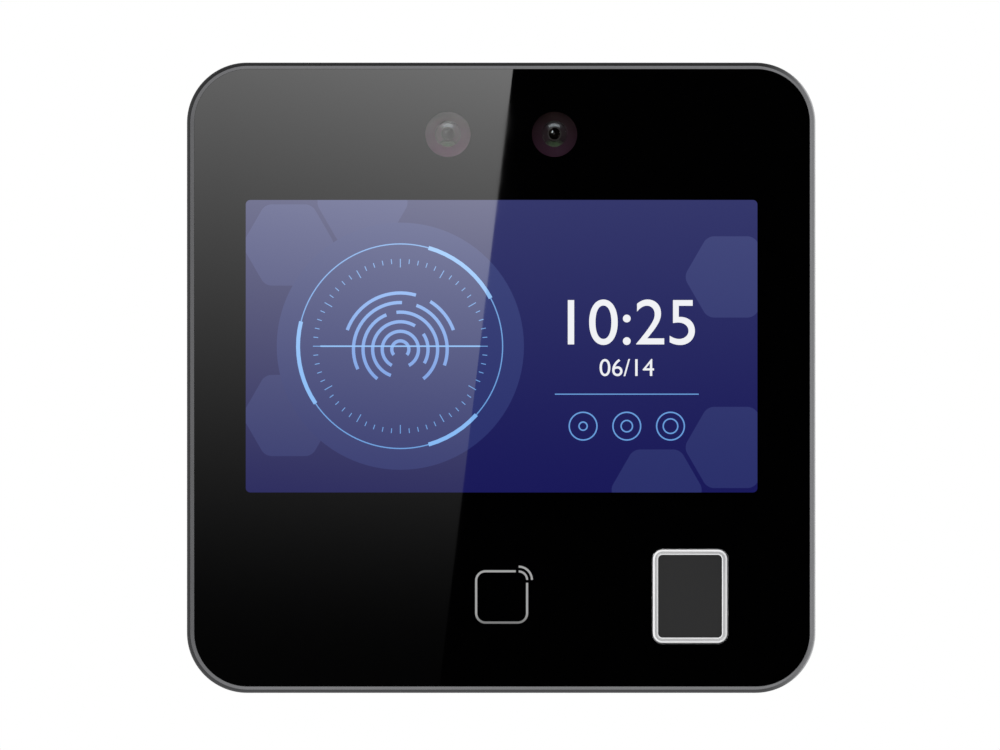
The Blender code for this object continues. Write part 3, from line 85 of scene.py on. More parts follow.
def roundedLoop(bm, width, height, radius, y, center=(0.0, 0.0), steps=10):
    known = set(bm.faces)
    corners = addSquare(bm, frontPlace(center, y) @ Matrix.Diagonal((width, height, 1, 1)))
    roundCorners(bm, corners, radius, steps)
    face = next(f for f in bm.faces if f not in known)
    edges = list(face.edges)
    bmesh.ops.delete(bm, geom=[face], context="FACES_ONLY")
    return edges


def circleLoop(bm, radius, y, center, steps=64):
    ring = bmesh.ops.create_circle(bm, cap_ends=False, radius=radius, segments=steps,
                                   matrix=frontPlace(center, y))
    members = set(ring["verts"])
    return [e for e in bm.edges if e.verts[0] in members and e.verts[1] in members]


def bandThrough(bm, rings, steps=10):
    # each ring is width, height, corner radius, y, center; neighbours are bridged and the doubles merge later
    for first, second in zip(rings, rings[1:] + rings[:1]):
        edges = roundedLoop(bm, *first, steps) + roundedLoop(bm, *second, steps)
        bmesh.ops.bridge_loops(bm, edges=edges)


def turnProfile(bm, points, center, steps=64, closed=False):
    # points are radius, y; spun about an axis along Y
    verts = [bm.verts.new((center[0] + r, y, center[1])) for r, y in points]
    pairs = list(zip(verts, verts[1:]))
    if closed:
        pairs.append((verts[-1], verts[0]))
    edges = [bm.edges.new(pair) for pair in pairs]
    bmesh.ops.spin(bm, geom=verts + edges, cent=(center[0], 0, center[1]), axis=(0, 1, 0),
                   angle=math.tau, steps=steps, use_merge=True)


def flatRing(bm, inner, outer, y, depth, center, steps):
    section = [(inner, y), (outer, y), (outer, y + depth), (inner, y + depth)]
    turnProfile(bm, section, center, steps, closed=True)


def thicken(bm, faces, depth):
    grown = bmesh.ops.extrude_face_region(bm, geom=faces, use_keep_orig=True)["geom"]
    moved = [g for g in grown if isinstance(g, bmesh.types.BMVert)]
    bmesh.ops.translate(bm, verts=moved, vec=(0, depth, 0))


def sheetSolid(bm, outer, windows, holes, depth):
    # a flat sheet with filled windows of their own material and open holes, then its thickness
    panes = []
    for index, edges in enumerate(windows, 1):
        for face in bmesh.ops.contextual_create(bm, geom=edges)["faces"]:
            face.material_index = index
            panes.append(face)
    rims = outer + [e for edges in windows + holes for e in edges]
    filled = bmesh.ops.triangle_fill(bm, use_beauty=True, use_dissolve=False, edges=rims, normal=(0, -1, 0))
    sheet = [g for g in filled["geom"] if isinstance(g, bmesh.types.BMFace)]
    thicken(bm, sheet + panes, depth)


def cleaned(bm, gap=1e-7):
    bmesh.ops.remove_doubles(bm, verts=bm.verts, dist=gap)
    bmesh.ops.recalc_face_normals(bm, faces=bm.faces)
    return bm


def soften(bm, width, steps=2, angle=40, keep=None):
    cleaned(bm)
    rims = [e for e in bm.edges if e.is_manifold and e.calc_face_angle(0) > math.radians(angle)]
    if keep:
        rims = [e for e in rims if keep(e)]
    bmesh.ops.bevel(bm, geom=rims, offset=width, segments=steps, profile=0.5, affect="EDGES",
                    material=-1, clamp_overlap=True)
    return bm


def cadCopy(node, edge=0.0):
    bm = bmesh.new()
    bm.from_mesh(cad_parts[node].data)
    bmesh.ops.remove_doubles(bm, verts=bm.verts, dist=tiny)
    if edge:
        bmesh.ops.dissolve_limit(bm, angle_limit=math.radians(0.5), verts=bm.verts, edges=bm.edges)
        soften(bm, edge)
    return bm


def pour(part, bm):
    mesh = bpy.data.meshes.new("poured")
    part.to_mesh(mesh)
    part.free()
    bm.from_mesh(mesh)
    bpy.data.meshes.remove(mesh)


def slab(bm, x, y, z, edge=0.0, steps=2):
    # a block between pairs of x, y and z, with its own softened edges
    part = bmesh.new()
    sizes = (x[1] - x[0], y[1] - y[0], z[1] - z[0], 1)
    middle = Vector(((x[0] + x[1]) / 2, (y[0] + y[1]) / 2, (z[0] + z[1]) / 2))
    bmesh.ops.create_cube(part, size=1, matrix=Matrix.Translation(middle) @ Matrix.Diagonal(sizes))
    if edge:
        soften(part, edge, steps)
    pour(part, bm)


def sweepArc(bm, center, radius, width, start, end, y, depth, stepAngle=5, leastSteps=4):
    # a flat curved bar between two angles in degrees, seen from the front
    part = bmesh.new()
    section = Matrix.Translation((radius, y + depth / 2, 0)) @ Matrix.Diagonal((width, depth, 1, 1))
    addSquare(part, section)
    turn = Matrix.Rotation(math.radians(-start), 3, "Y")
    bmesh.ops.rotate(part, verts=part.verts, cent=(0, 0, 0), matrix=turn)
    steps = max(leastSteps, round(abs(end - start) / stepAngle))
    bmesh.ops.spin(part, geom=everything(part), cent=(0, 0, 0), axis=(0, -1, 0),
                   angle=math.radians(end - start), steps=steps)
    bmesh.ops.translate(part, verts=part.verts, vec=(center[0], 0, center[1]))
    pour(cleaned(part), bm)


def bends(edge, least=0.5, most=15):
    return edge.is_manifold and math.radians(least) < edge.calc_face_angle(0) < math.radians(most)


def meshObject(name, bm, materials):
    mesh = bpy.data.meshes.new(name)
    bm.to_mesh(mesh)
    bm.free()
    for material in materials if isinstance(materials, list) else [materials]:
        mesh.materials.append(material)
    item = bpy.data.objects.new(name, mesh)
    scene.collection.objects.link(item)
    return item


def addPiece(name, bm, materials, replaces=(), body="terminal", sharp=32, flats=False):
    # flats keeps plane faces plane, so that only round walls are shaded smooth
    cleaned(bm)
    smooth = [not flats or any(bends(edge) for edge in face.edges) for face in bm.faces]
    piece = meshObject(name, bm, materials)
    mesh = piece.data
    carried = mesh.attributes.get("custom_normal")
    if carried:
        mesh.attributes.remove(carried)  # the solid's own shading doesn't fit the softened edges
    mesh.set_sharp_from_angle(angle=math.radians(sharp))
    mesh.polygons.foreach_set("use_smooth", smooth)
    if not flats:
        weights = piece.modifiers.new("faceWeights", "WEIGHTED_NORMAL")
        weights.keep_sharp = True
        weights.weight = 80
    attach(piece, body)
    if replaces:
        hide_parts(*replaces)
    return piece


# node steps

def dress(tree, node, sockets):
    # each socket gets a link from another node, or a plain number or colour
    for label, value in sockets.items():
        if isinstance(value, bpy.types.NodeSocket):
            tree.links.new(value, node.inputs[label])
        else:
            node.inputs[label].default_value = value


def addNode(tree, kind, sockets=None, **settings):
    node = tree.nodes.new("ShaderNode" + kind)
    for label, value in settings.items():
        setattr(node, label, value)
    dress(tree, node, sockets or {})
    return node


def mathStep(tree, operation, *values):
    return addNode(tree, "Math", dict(enumerate(values)), operation=operation).outputs[0]


def times(tree, first, second):
    return mathStep(tree, "MULTIPLY", first, second)


def plus(tree, first, second):
    return mathStep(tree, "ADD", first, second)


def mapRange(tree, value, fromLow, fromHigh, toLow=0.0, toHigh=1.0):
    limits = {"From Min": fromLow, "From Max": fromHigh, "To Min": toLow, "To Max": toHigh}
    return addNode(tree, "MapRange", {"Value": value} | limits).outputs["Result"]


def objectPlace(tree):
    return addNode(tree, "TexCoord").outputs["Object"]


def axesOf(tree, vector):
    return addNode(tree, "SeparateXYZ", {0: vector}).outputs


# shader node groups

grainLook = {"detail": 3.0, "roughness": 0.62, "toneSpan": (0.32, 0.68), "cellScale": 1.7, "cellHeight": 0.5}
hazeLook = {"detail": 4.0, "span": (0.35, 0.65)}
routingLook = {"mortar": 0.06, "mortarSmooth": 0.05, "patchScale": 0.5, "patchSpan": (0.48, 0.54),
               "viaScale": 1.4, "viaSpan": (0.16, 0.12)}


def startGroup(name, inputs, outputs):
    tree = bpy.data.node_groups.new(name, "ShaderNodeTree")
    for label, value in inputs.items():
        kind = "NodeSocketVector" if isinstance(value, tuple) else "NodeSocketFloat"
        tree.interface.new_socket(label, in_out="INPUT", socket_type=kind).default_value = value
    for label in outputs:
        tree.interface.new_socket(label, in_out="OUTPUT", socket_type="NodeSocketFloat")
    return tree, tree.nodes.new("NodeGroupInput").outputs, tree.nodes.new("NodeGroupOutput")


def makeGrain():
    # fine cloudy grain: moulded skins, blasted metal, rubber; stretched for brushed or drawn surfaces
    look = grainLook
    tree, given, result = startGroup("surfaceGrain", {"Scale": 3000.0, "Stretch": (1.0, 1.0, 1.0)},
                                     ["Tone", "Height"])
    stretched = {0: objectPlace(tree), 1: given["Stretch"]}
    pulled = addNode(tree, "VectorMath", stretched, operation="MULTIPLY").outputs[0]
    cloud = addNode(tree, "TexNoise", {"Vector": pulled, "Scale": given["Scale"], "Detail": look["detail"],
                                       "Roughness": look["roughness"]}).outputs["Fac"]
    cellScale = times(tree, given["Scale"], look["cellScale"])
    cells = addNode(tree, "TexVoronoi", {"Vector": pulled, "Scale": cellScale}).outputs["Distance"]
    height = plus(tree, cloud, times(tree, cells, look["cellHeight"]))
    dress(tree, result, {"Tone": mapRange(tree, cloud, *look["toneSpan"]), "Height": height})
    return tree


def makeHaze():
    # slow change over a whole piece, for uneven sheen
    tree, given, result = startGroup("softHaze", {"Scale": 45.0}, ["Mask"])
    cloud = addNode(tree, "TexNoise", {"Vector": objectPlace(tree), "Scale": given["Scale"],
                                       "Detail": hazeLook["detail"]}).outputs["Fac"]
    dress(tree, result, {"Mask": mapRange(tree, cloud, *hazeLook["span"])})
    return tree


def makeRise():
    # 0 at the low height, 1 at the high one
    tree, given, result = startGroup("heightRise", {"Low": 0.0, "High": 1.0}, ["Mask"])
    height = axesOf(tree, objectPlace(tree))["Z"]
    dress(tree, result, {"Mask": mapRange(tree, height, given["Low"], given["High"])})
    return tree


def makeRouting():
    # copper runs under solder mask, as broken rows of bricks seen from the front or back
    look = routingLook
    tree, given, result = startGroup("boardRouting", {"Scale": 260.0}, ["Run", "Via"])
    axes = axesOf(tree, objectPlace(tree))
    flat = addNode(tree, "CombineXYZ", {"X": axes["X"], "Y": axes["Z"]}).outputs[0]
    rows = addNode(tree, "TexBrick", {"Vector": flat, "Scale": given["Scale"], "Mortar Size": look["mortar"],
                                      "Mortar Smooth": look["mortarSmooth"], "Color1": (0, 0, 0, 1),
                                      "Color2": (0, 0, 0, 1), "Mortar": (1, 1, 1, 1)}).outputs["Color"]
    patchScale = times(tree, given["Scale"], look["patchScale"])
    patches = addNode(tree, "TexNoise", {"Vector": flat, "Scale": patchScale}).outputs["Fac"]
    viaScale = times(tree, given["Scale"], look["viaScale"])
    vias = addNode(tree, "TexVoronoi", {"Vector": flat, "Scale": viaScale}, voronoi_dimensions="2D")
    dress(tree, result, {"Run": times(tree, rows, mapRange(tree, patches, *look["patchSpan"])),
                         "Via": mapRange(tree, vias.outputs["Distance"], *look["viaSpan"])})
    return tree


groups = {"grain": makeGrain(), "haze": makeHaze(), "rise": makeRise(), "routing": makeRouting()}
print("node groups:", ", ".join(groups))


# materials

def startMaterial(name):
    material = bpy.data.materials.new(name)
    material.use_nodes = True
    tree = material.node_tree
    return material, tree, tree.nodes["Principled BSDF"]


def placeGroup(tree, key, **values):
    return addNode(tree, "Group", values, node_tree=groups[key]).outputs


def blendColor(tree, mask, low, high):
    sockets = {0: mask}
    for index, color in ((6, low), (7, high)):
        sockets[index] = (*color, 1) if isinstance(color, tuple) else color
    return addNode(tree, "Mix", sockets, data_type="RGBA").outputs[2]


def heightBlend(tree, low, high, span, ease=None):
    # one colour at the low end of the span of heights, another at the high end
    mask = placeGroup(tree, "rise", Low=span[0], High=span[1])["Mask"]
    if ease:
        mask = mathStep(tree, "POWER", mask, ease)
    return blendColor(tree, mask, low, high)


def sheen(tree, low, high):
    # roughness that drifts a little over the piece
    return mapRange(tree, placeGroup(tree, "haze")["Mask"], 0, 1, low, high)


def bumpFrom(tree, height, strength, distance):
    return addNode(tree, "Bump", {"Strength": strength, "Distance": distance, "Height": height}).outputs[0]


def show(tree, shader):
    tree.links.new(shader.outputs[0], tree.nodes["Material Output"].inputs["Surface"])


def openWhere(tree, shader, mask):
    clear = addNode(tree, "BsdfTransparent").outputs[0]
    show(tree, addNode(tree, "MixShader", {0: mask, 1: shader.outputs[0], 2: clear}))


def underGlass(tree, shader):
    # the flat cover glass mirrors in front of every piece of a camera, whichever way the piece leans
    flat = addNode(tree, "CombineXYZ", {"Y": -1.0}).outputs[0]
    dress(tree, shader, {"Coat Normal": flat, "Coat Weight": 1.0, "Coat Roughness": 0.01, "Coat IOR": 1.57})


def grainFinish(name, look):
    # colour and bump follow the grain, gloss the slow haze
    material, tree, shader = startMaterial(name)
    grain = placeGroup(tree, "grain", Scale=look["scale"], Stretch=look.get("stretch", (1, 1, 1)))
    color = blendColor(tree, grain["Tone"], look["dark"], look["light"])
    # painted shade: towards the top of the span the colour turns to the darker shaded top colour
    if "upper" in look:
        color = heightBlend(tree, color, look["upper"], look["span"])
    bump = bumpFrom(tree, grain["Height"], look.get("bump", 0.2), look.get("depth", 0.00003))
    dress(tree, shader, {"Base Color": color, "Roughness": sheen(tree, *look["gloss"]), "Normal": bump,
                         "Metallic": look.get("metal", 0.0), "IOR": look.get("ior", 1.5)})
    if look.get("underGlass"):
        underGlass(tree, shader)
    return material


boardLook = {"grain": 9000.0, "gloss": (0.32, 0.46), "bump": 0.4, "depth": 0.00003}


def boardFinish(name, look):
    material, tree, shader = startMaterial(name)
    routing = placeGroup(tree, "routing", Scale=look["scale"])
    grain = placeGroup(tree, "grain", Scale=look["grain"])
    color = blendColor(tree, routing["Run"], look["mask"], look["run"])
    dress(tree, shader, {"Base Color": blendColor(tree, routing["Via"], color, look["via"]),
                         "Roughness": mapRange(tree, grain["Tone"], 0, 1, *look["gloss"]),
                         "Normal": bumpFrom(tree, routing["Run"], look["bump"], look["depth"])})
    return material


glassGloss = (0.004, 0.014)
litLook = {"base": (0.0004, 0.0004, 0.0006, 1), "ease": 1.35, "ior": 1.78}  # mirrors as much as the glass


def litFinish(name, low, high, span):
    # lit behind bonded glass: the colour rises from one height to another, the surface keeps the gloss
    material, tree, shader = startMaterial(name)
    dress(tree, shader, {"Base Color": litLook["base"], "IOR": litLook["ior"], "Emission Strength": 1.0,
                         "Emission Color": heightBlend(tree, low, high, span, litLook["ease"]),
                         "Roughness": sheen(tree, *glassGloss)})
    return material


def paintedGlowFinish(name, low, high, span):
    # printed light grey, as painted light: it glows by itself and reads the same over the whole glass,
    # lighter towards the top
    material, tree, shader = startMaterial(name)
    tree.nodes.remove(shader)
    show(tree, addNode(tree, "Emission", {"Color": heightBlend(tree, low, high, span)}))
    return material


def coatWithPaintedGlints(name, look):
    # lens coating: plum at the sides, then painted light: a silver metal patch above the middle of the lens
    # as a painted highlight, and a green one below it as a painted reflection
    material, tree, shader = startMaterial(name)
    axes = axesOf(tree, objectPlace(tree))
    aside = mathStep(tree, "SUBTRACT", mathStep(tree, "ABSOLUTE", axes["X"]), look["x"])
    above = mathStep(tree, "SUBTRACT", axes["Z"], look["z"])
    radius = mathStep(tree, "SQRT", plus(tree, times(tree, aside, aside), times(tree, above, above)))
    upward = mathStep(tree, "DIVIDE", above, radius)
    paintedGlintAbove = times(tree, mapRange(tree, upward, *look["glintAboveTurn"]),
                   mapRange(tree, radius, *look["glintAboveRim"], 1.0, 0.0))
    paintedGlintBelow = times(tree, mapRange(tree, upward, *look["glintBelowTurn"]), mapRange(tree, radius, *look["glintBelowRim"]))
    color = blendColor(tree, paintedGlintAbove, look["dark"], look["paintedGlintAbove"])
    dress(tree, shader, {"Base Color": blendColor(tree, paintedGlintBelow, color, look["paintedGlintBelow"]), "IOR": look["ior"],
                         "Metallic": mathStep(tree, "MAXIMUM", paintedGlintAbove, paintedGlintBelow),
                         "Roughness": sheen(tree, *look["gloss"])})
    underGlass(tree, shader)
    return material


def clearFinish(name, look):
    # lamps reach through it to what lies behind, and it mirrors nothing straight on
    material, tree, shader = startMaterial(name)
    dress(tree, shader, {"Base Color": look["tint"], "Transmission Weight": 1.0, "IOR": look["ior"],
                         "Specular Tint": (0, 0, 0, 1), "Roughness": sheen(tree, 0.0, look["smear"])})
    openWhere(tree, shader, addNode(tree, "LightPath").outputs["Is Shadow Ray"])
    return material


finishes = {
    "frameMetal": {"dark": (0.150, 0.150, 0.156), "light": (0.200, 0.200, 0.207), "gloss": (0.22, 0.28),
                   "metal": 1.0, "scale": 14000.0, "bump": 0.10, "depth": 0.00001},
    "inkGlass": {"dark": (0.0003, 0.0003, 0.0004), "light": (0.0005, 0.0005, 0.0006), "gloss": glassGloss,
                 "scale": 300.0, "bump": 0.0, "ior": 1.5},
    "panelBlack": {"dark": (0.004, 0.004, 0.005), "light": (0.007, 0.007, 0.008), "gloss": (0.30, 0.40),
                   "scale": 5000.0},
    "sensorChrome": {"dark": (0.80, 0.80, 0.81), "light": (0.86, 0.86, 0.87), "gloss": (0.20, 0.27),
                     "metal": 0.65, "scale": 9000.0, "bump": 0.03, "depth": 0.00001},
    "sensorPad": {"dark": (0.024, 0.024, 0.0245), "light": (0.030, 0.030, 0.0305), "gloss": (0.48, 0.58),
                  "scale": 16000.0, "bump": 0.12, "depth": 0.00001, "ior": 1.3},
    "lensBlack": {"dark": (0.0036, 0.0026, 0.0023), "light": (0.0048, 0.0034, 0.0030), "gloss": (0.03, 0.06),
                  "scale": 4000.0, "bump": 0.0, "ior": 1.5, "underGlass": True},
    "lensLip": {"dark": (0.030, 0.027, 0.025), "light": (0.036, 0.033, 0.031), "gloss": (0.40, 0.50),
                "scale": 9000.0, "bump": 0.05, "ior": 1.3, "underGlass": True},
    "blackPlastic": {"dark": (0.014, 0.014, 0.015), "light": (0.024, 0.024, 0.025), "gloss": (0.46, 0.58),
                     "scale": 4200.0, "bump": 0.35},
    "greyPlastic": {"dark": (0.085, 0.085, 0.092), "light": (0.110, 0.110, 0.120), "gloss": (0.50, 0.62),
                    "scale": 4200.0, "bump": 0.30},
    "whitePlastic": {"dark": (0.66, 0.66, 0.63), "light": (0.76, 0.76, 0.74), "gloss": (0.38, 0.50),
                     "scale": 3500.0, "bump": 0.12},
    "terminalGreen": {"dark": (0.022, 0.190, 0.062), "light": (0.034, 0.250, 0.088), "gloss": (0.40, 0.52),
                      "scale": 3600.0, "bump": 0.20},
    "leverOrange": {"dark": (0.62, 0.19, 0.02), "light": (0.74, 0.25, 0.03), "gloss": (0.36, 0.46),
                    "scale": 3600.0, "bump": 0.12},
    "relayBlue": {"dark": (0.030, 0.090, 0.290), "light": (0.045, 0.120, 0.360), "gloss": (0.34, 0.44),
                  "scale": 3600.0, "bump": 0.12},
    "flexAmber": {"dark": (0.24, 0.11, 0.025), "light": (0.36, 0.18, 0.050), "gloss": (0.26, 0.36),
                  "scale": 1500.0, "stretch": (6.0, 1.0, 1.0), "bump": 0.15},
    "sealRubber": {"dark": (0.018, 0.018, 0.018), "light": (0.030, 0.030, 0.030), "gloss": (0.78, 0.90),
                   "scale": 2600.0, "bump": 0.30},
    "zincPlate": {"dark": (0.40, 0.40, 0.39), "light": (0.54, 0.54, 0.53), "gloss": (0.36, 0.48),
                  "metal": 1.0, "scale": 1700.0, "stretch": (0.06, 1.0, 1.0), "bump": 0.10},
    "screwSteel": {"dark": (0.34, 0.34, 0.35), "light": (0.46, 0.46, 0.47), "gloss": (0.28, 0.38),
                   "metal": 1.0, "scale": 5200.0, "bump": 0.08},
    "insertBrass": {"dark": (0.62, 0.44, 0.18), "light": (0.76, 0.56, 0.26), "gloss": (0.28, 0.38),
                    "metal": 1.0, "scale": 2400.0, "stretch": (1.0, 1.0, 8.0), "bump": 0.15},
    "contactGold": {"dark": (0.76, 0.54, 0.20), "light": (0.86, 0.64, 0.28), "gloss": (0.22, 0.30),
                    "metal": 1.0, "scale": 5200.0, "bump": 0.05},
    "chipBlack": {"dark": (0.012, 0.012, 0.013), "light": (0.020, 0.020, 0.022), "gloss": (0.40, 0.52),
                  "scale": 7000.0, "bump": 0.20},
    "chipTan": {"dark": (0.32, 0.22, 0.13), "light": (0.42, 0.30, 0.19), "gloss": (0.40, 0.52),
                "scale": 7000.0, "bump": 0.10},
}
boards = {
    "boardGreen": {"mask": (0.008, 0.070, 0.032), "run": (0.022, 0.150, 0.066), "via": (0.60, 0.48, 0.26),
                   "scale": 330.0},
    "boardBlack": {"mask": (0.010, 0.012, 0.012), "run": (0.028, 0.032, 0.032), "via": (0.55, 0.43, 0.22),
                   "scale": 420.0},
}
skins = {name: grainFinish(name, look) for name, look in finishes.items()}
for name, look in boards.items():
    skins[name] = boardFinish(name, boardLook | look)
skins["clearPane"] = clearFinish("clearPane", {"tint": (1.0, 1.0, 1.0, 1), "ior": 1.45, "smear": 0.002})
print("finishes:", len(skins))


# camera: straight on, long lens; the picture is 187.7 mm wide at the glass

shot = {"distance": 3.0, "imageWidth": 0.18767, "x": -0.000226, "z": 0.000517, "sensor": 36.0,
        "clip": (0.01, 60)}
glassLow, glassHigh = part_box("cover_glass")
glassFront = glassLow.y
lens = bpy.data.cameras.new("frontCamera")
lens.sensor_width = shot["sensor"]
lens.lens = shot["sensor"] * shot["distance"] / shot["imageWidth"]
lens.clip_start, lens.clip_end = shot["clip"]
eye = bpy.data.objects.new("frontCamera", lens)
eye.location = (shot["x"], glassFront - shot["distance"], shot["z"])
eye.rotation_euler = (math.radians(90), 0, 0)
scene.collection.objects.link(eye)
scene.camera = eye
print("camera placed, lens", round(lens.lens, 1))


# bezel frame: wide round on the outside, ridge, slope down to the glass

frameLook = {"corner": 0.0113, "wall": 0.00122, "arc": 0.0024, "arcEnd": 47, "lip": 0.00024,
             "backEdge": 0.00025, "shelf": 0.00456, "shelfCorner": 0.0160, "tapeGap": 0.00025,
             "shelfStep": 0.00225, "ridgeCorner": 0.0002, "roundSteps": 7, "cornerSteps": 28}
glassLook = {"gap": 0.00002, "edge": 0.00004, "edgeSteps": 2, "cornerSteps": 28, "cameraWindow": 0.00427,
             "windowDrop": 0.00012, "aside": 0.00015, "rimBand": 0.02, "holeBand": 0.001}
frameLow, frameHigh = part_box("bezel_frame")
bodyWidth = frameHigh.x - frameLow.x
bodyHeight = frameHigh.z - frameLow.z


def bodyRing(inset, y, corner=None, aside=0.0):
    radius = frameLook["corner"] - inset if corner is None else corner
    return (bodyWidth - 2 * inset, bodyHeight - 2 * inset, radius, y, (aside, 0.0))


def buildFrame():
    look = frameLook
    aside = glassLook["aside"]
    front, back, wall = glassFront - look["lip"], frameHigh.y, look["wall"]
    rings = [bodyRing(look["backEdge"], back), bodyRing(0, back - look["backEdge"])]
    end = math.radians(look["arcEnd"])
    for step in range(look["roundSteps"] + 1):
        share = step / look["roundSteps"]
        tilt = math.pi / 2 + (end - math.pi / 2) * share
        inset = look["arc"] * (1 - math.sin(tilt))
        corner = look["corner"] - inset + look["ridgeCorner"] * share
        rings.append(bodyRing(inset, front + look["arc"] * (math.cos(end) - math.cos(tilt)), corner))
    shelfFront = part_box("glass_tape")[1].y + look["tapeGap"]
    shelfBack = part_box("inner_chassis")[1].y - look["shelfStep"]
    inner = wall + look["shelf"]
    rings += [
        bodyRing(wall, glassFront + glassLook["edge"], aside=aside),
        bodyRing(wall, shelfFront, aside=aside),
        bodyRing(inner, shelfFront, look["shelfCorner"]),
        bodyRing(inner, shelfBack, look["shelfCorner"]),
        bodyRing(wall, shelfBack),
        bodyRing(wall, back),
    ]
    bm = bmesh.new()
    bandThrough(bm, rings, steps=look["cornerSteps"])
    addPiece("frameBand", bm, skins["frameMetal"], ["bezel_frame"], sharp=20)


buildFrame()
print("bezel frame built")


# cover glass: black print with clear places for the screen and the cameras, open at the sensor

screenLook = {"width": 0.09602, "height": 0.05489, "z": 0.00592, "corner": 0.00085, "x": 0.00007}
screenSpan = around(screenLook["z"], screenLook["height"])
screenTones = {
    # linear colour at the lower and the upper edge of the display
    "screenLit": ((0.0102, 0.0102, 0.0985), (0.0355, 0.0395, 0.1480)),
    "tileLit": ((0.0240, 0.0300, 0.1450), (0.0600, 0.0700, 0.2050)),
    "dialLit": ((0.0220, 0.0290, 0.1500), (0.0560, 0.0700, 0.2100)),
    "lineLit": ((0.130, 0.330, 0.720), (0.240, 0.440, 0.800)),
    "arcLit": ((0.200, 0.450, 0.880), (0.330, 0.560, 0.900)),
    "printLit": ((0.120, 0.240, 0.640), (0.330, 0.560, 0.950)),
    "digitLit": ((0.86, 0.87, 0.90), (0.90, 0.91, 0.94)),
}
for name, (low, high) in screenTones.items():
    skins[name] = litFinish(name, low, high, screenSpan)
barrelBoxes = {side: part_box(side + "_camera_barrel") for side in ("left", "right")}
cameraPlaces = {side: middleOf(*box) for side, box in barrelBoxes.items()}
sensorLook = {"width": 0.01393, "height": 0.01748, "corner": 0.0018, "gap": 0.00025, "band": 0.00097,
              "shift": (-0.00006, 0.00009)}
sensorLow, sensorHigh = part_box("fingerprint_bezel")
sensorPlace = [sum(pair) for pair in zip(middleOf(sensorLow, sensorHigh), sensorLook["shift"])]


def sensorRing(inset, y, leastCorner=0.0004):
    width = sensorLook["width"] - 2 * inset
    height = sensorLook["height"] - 2 * inset
    return (width, height, max(sensorLook["corner"] - inset, leastCorner), y, sensorPlace)


def onGlassRim(edge):
    # the front edge around the glass, and not around the sensor's hole
    if any(v.co.y >= glassFront + tiny for v in edge.verts):
        return False
    spot = edge.verts[0].co
    middle = (spot + edge.verts[1].co) / 2
    band = glassLook["holeBand"]
    atHole = (abs(middle.x - sensorPlace[0]) < sensorLook["width"] / 2 + band
              and abs(middle.z - sensorPlace[1]) < sensorLook["height"] / 2 + band)
    halfGlass = bodyWidth / 2 - frameLook["wall"] - glassLook["gap"]
    return max(abs(spot.x), abs(spot.z)) > halfGlass - glassLook["rimBand"] and not atHole


def buildGlass():
    look = glassLook
    bm = bmesh.new()
    outline = bodyRing(frameLook["wall"] + look["gap"], glassFront, aside=look["aside"])
    outer = roundedLoop(bm, *outline, steps=look["cornerSteps"])
    windows = [roundedLoop(bm, screenLook["width"], screenLook["height"], screenLook["corner"], glassFront,
                           (screenLook["x"], screenLook["z"]))]
    for x, z in cameraPlaces.values():
        windows.append(circleLoop(bm, look["cameraWindow"], glassFront, (x, z - look["windowDrop"])))
    hole = roundedLoop(bm, *sensorRing(-sensorLook["gap"], glassFront))
    sheetSolid(bm, outer, windows, [hole], glassHigh.y - glassFront)
    finish = [skins["inkGlass"], skins["screenLit"], skins["clearPane"]]
    for face in bm.faces:
        face.material_index = min(face.material_index, len(finish) - 1)  # both camera windows are clear
    soften(bm, look["edge"], look["edgeSteps"], keep=onGlassRim)
    addPiece("glassPane", bm, finish, ["cover_glass"], sharp=15)


buildGlass()
print("cover glass built")


# what the display shows: thin lit shapes on the bonded glass

filmLook = {"tiles": 0.00001, "dial": 0.00002, "lines": 0.00003, "digits": 0.00004, "scan": 0.00005}


def film(layer):
    # front and thickness of a layer
    return glassFront - filmLook[layer], filmLook[layer]


def onScreen(x, z):
    return (screenLook["x"] + x, screenLook["z"] + z)


tileLook = {"sides": 6, "radius": 0.0088, "corner": 0.0012, "cornerSteps": 5,
            "places": [(-0.0400, 0.0190), (-0.0261, 0.0270), (0.0430, -0.0190), (0.0291, -0.0270),
                       (0.0430, 0.0130), (-0.0400, -0.0130)]}


def buildTiles():
    look = tileLook
    bm = bmesh.new()
    y, thick = film("tiles")
    middle = Vector((screenLook["x"], y, screenLook["z"]))
    turned = Matrix.Rotation(math.pi / look["sides"], 4, "Z")
    for x, z in look["places"]:
        part = bmesh.new()
        bmesh.ops.create_circle(part, cap_ends=True, radius=look["radius"], segments=look["sides"],
                                matrix=frontPlace(onScreen(x, z), y) @ turned)
        roundCorners(part, part.verts[:], look["corner"], look["cornerSteps"])
        for normal, size in (((1, 0, 0), "width"), ((-1, 0, 0), "width"), ((0, 0, 1), "height"),
                             ((0, 0, -1), "height")):
            edge = middle + Vector(normal) * screenLook[size] / 2
            bmesh.ops.bisect_plane(part, geom=everything(part), plane_co=edge, plane_no=normal,
                                   clear_outer=True)
        thicken(part, part.faces[:], thick)
        pour(cleaned(part), bm)
    addPiece("screenTiles", bm, skins["tileLit"])


dialLook = {"place": (-0.0190, 0.0), "disc": 0.0232, "discSteps": 96, "ring": 0.0192, "ringSteps": 128,
            "line": 0.00022, "arc": 0.00075, "arcs": [(28, 74), (166, 214), (286, 318)], "ticks": 60,
            "tickInner": 0.0164, "tickLength": 0.0009, "tickWidth": 0.00016, "longTick": 1.8, "longEvery": 5,
            "scan": 0.0300, "scanWidth": 0.00028, "markWidth": 0.00062, "markDrop": 0.0006,
            "marks": [(0.0016, (-40, 220)), (0.0034, (-62, 242)), (0.0052, (-30, 34)), (0.0052, (58, 250)),
                      (0.0070, (-52, 96)), (0.0070, (112, 232)), (0.0088, (-20, 70)), (0.0088, (88, 205)),
                      (0.0106, (20, 58)), (0.0106, (74, 160))]}


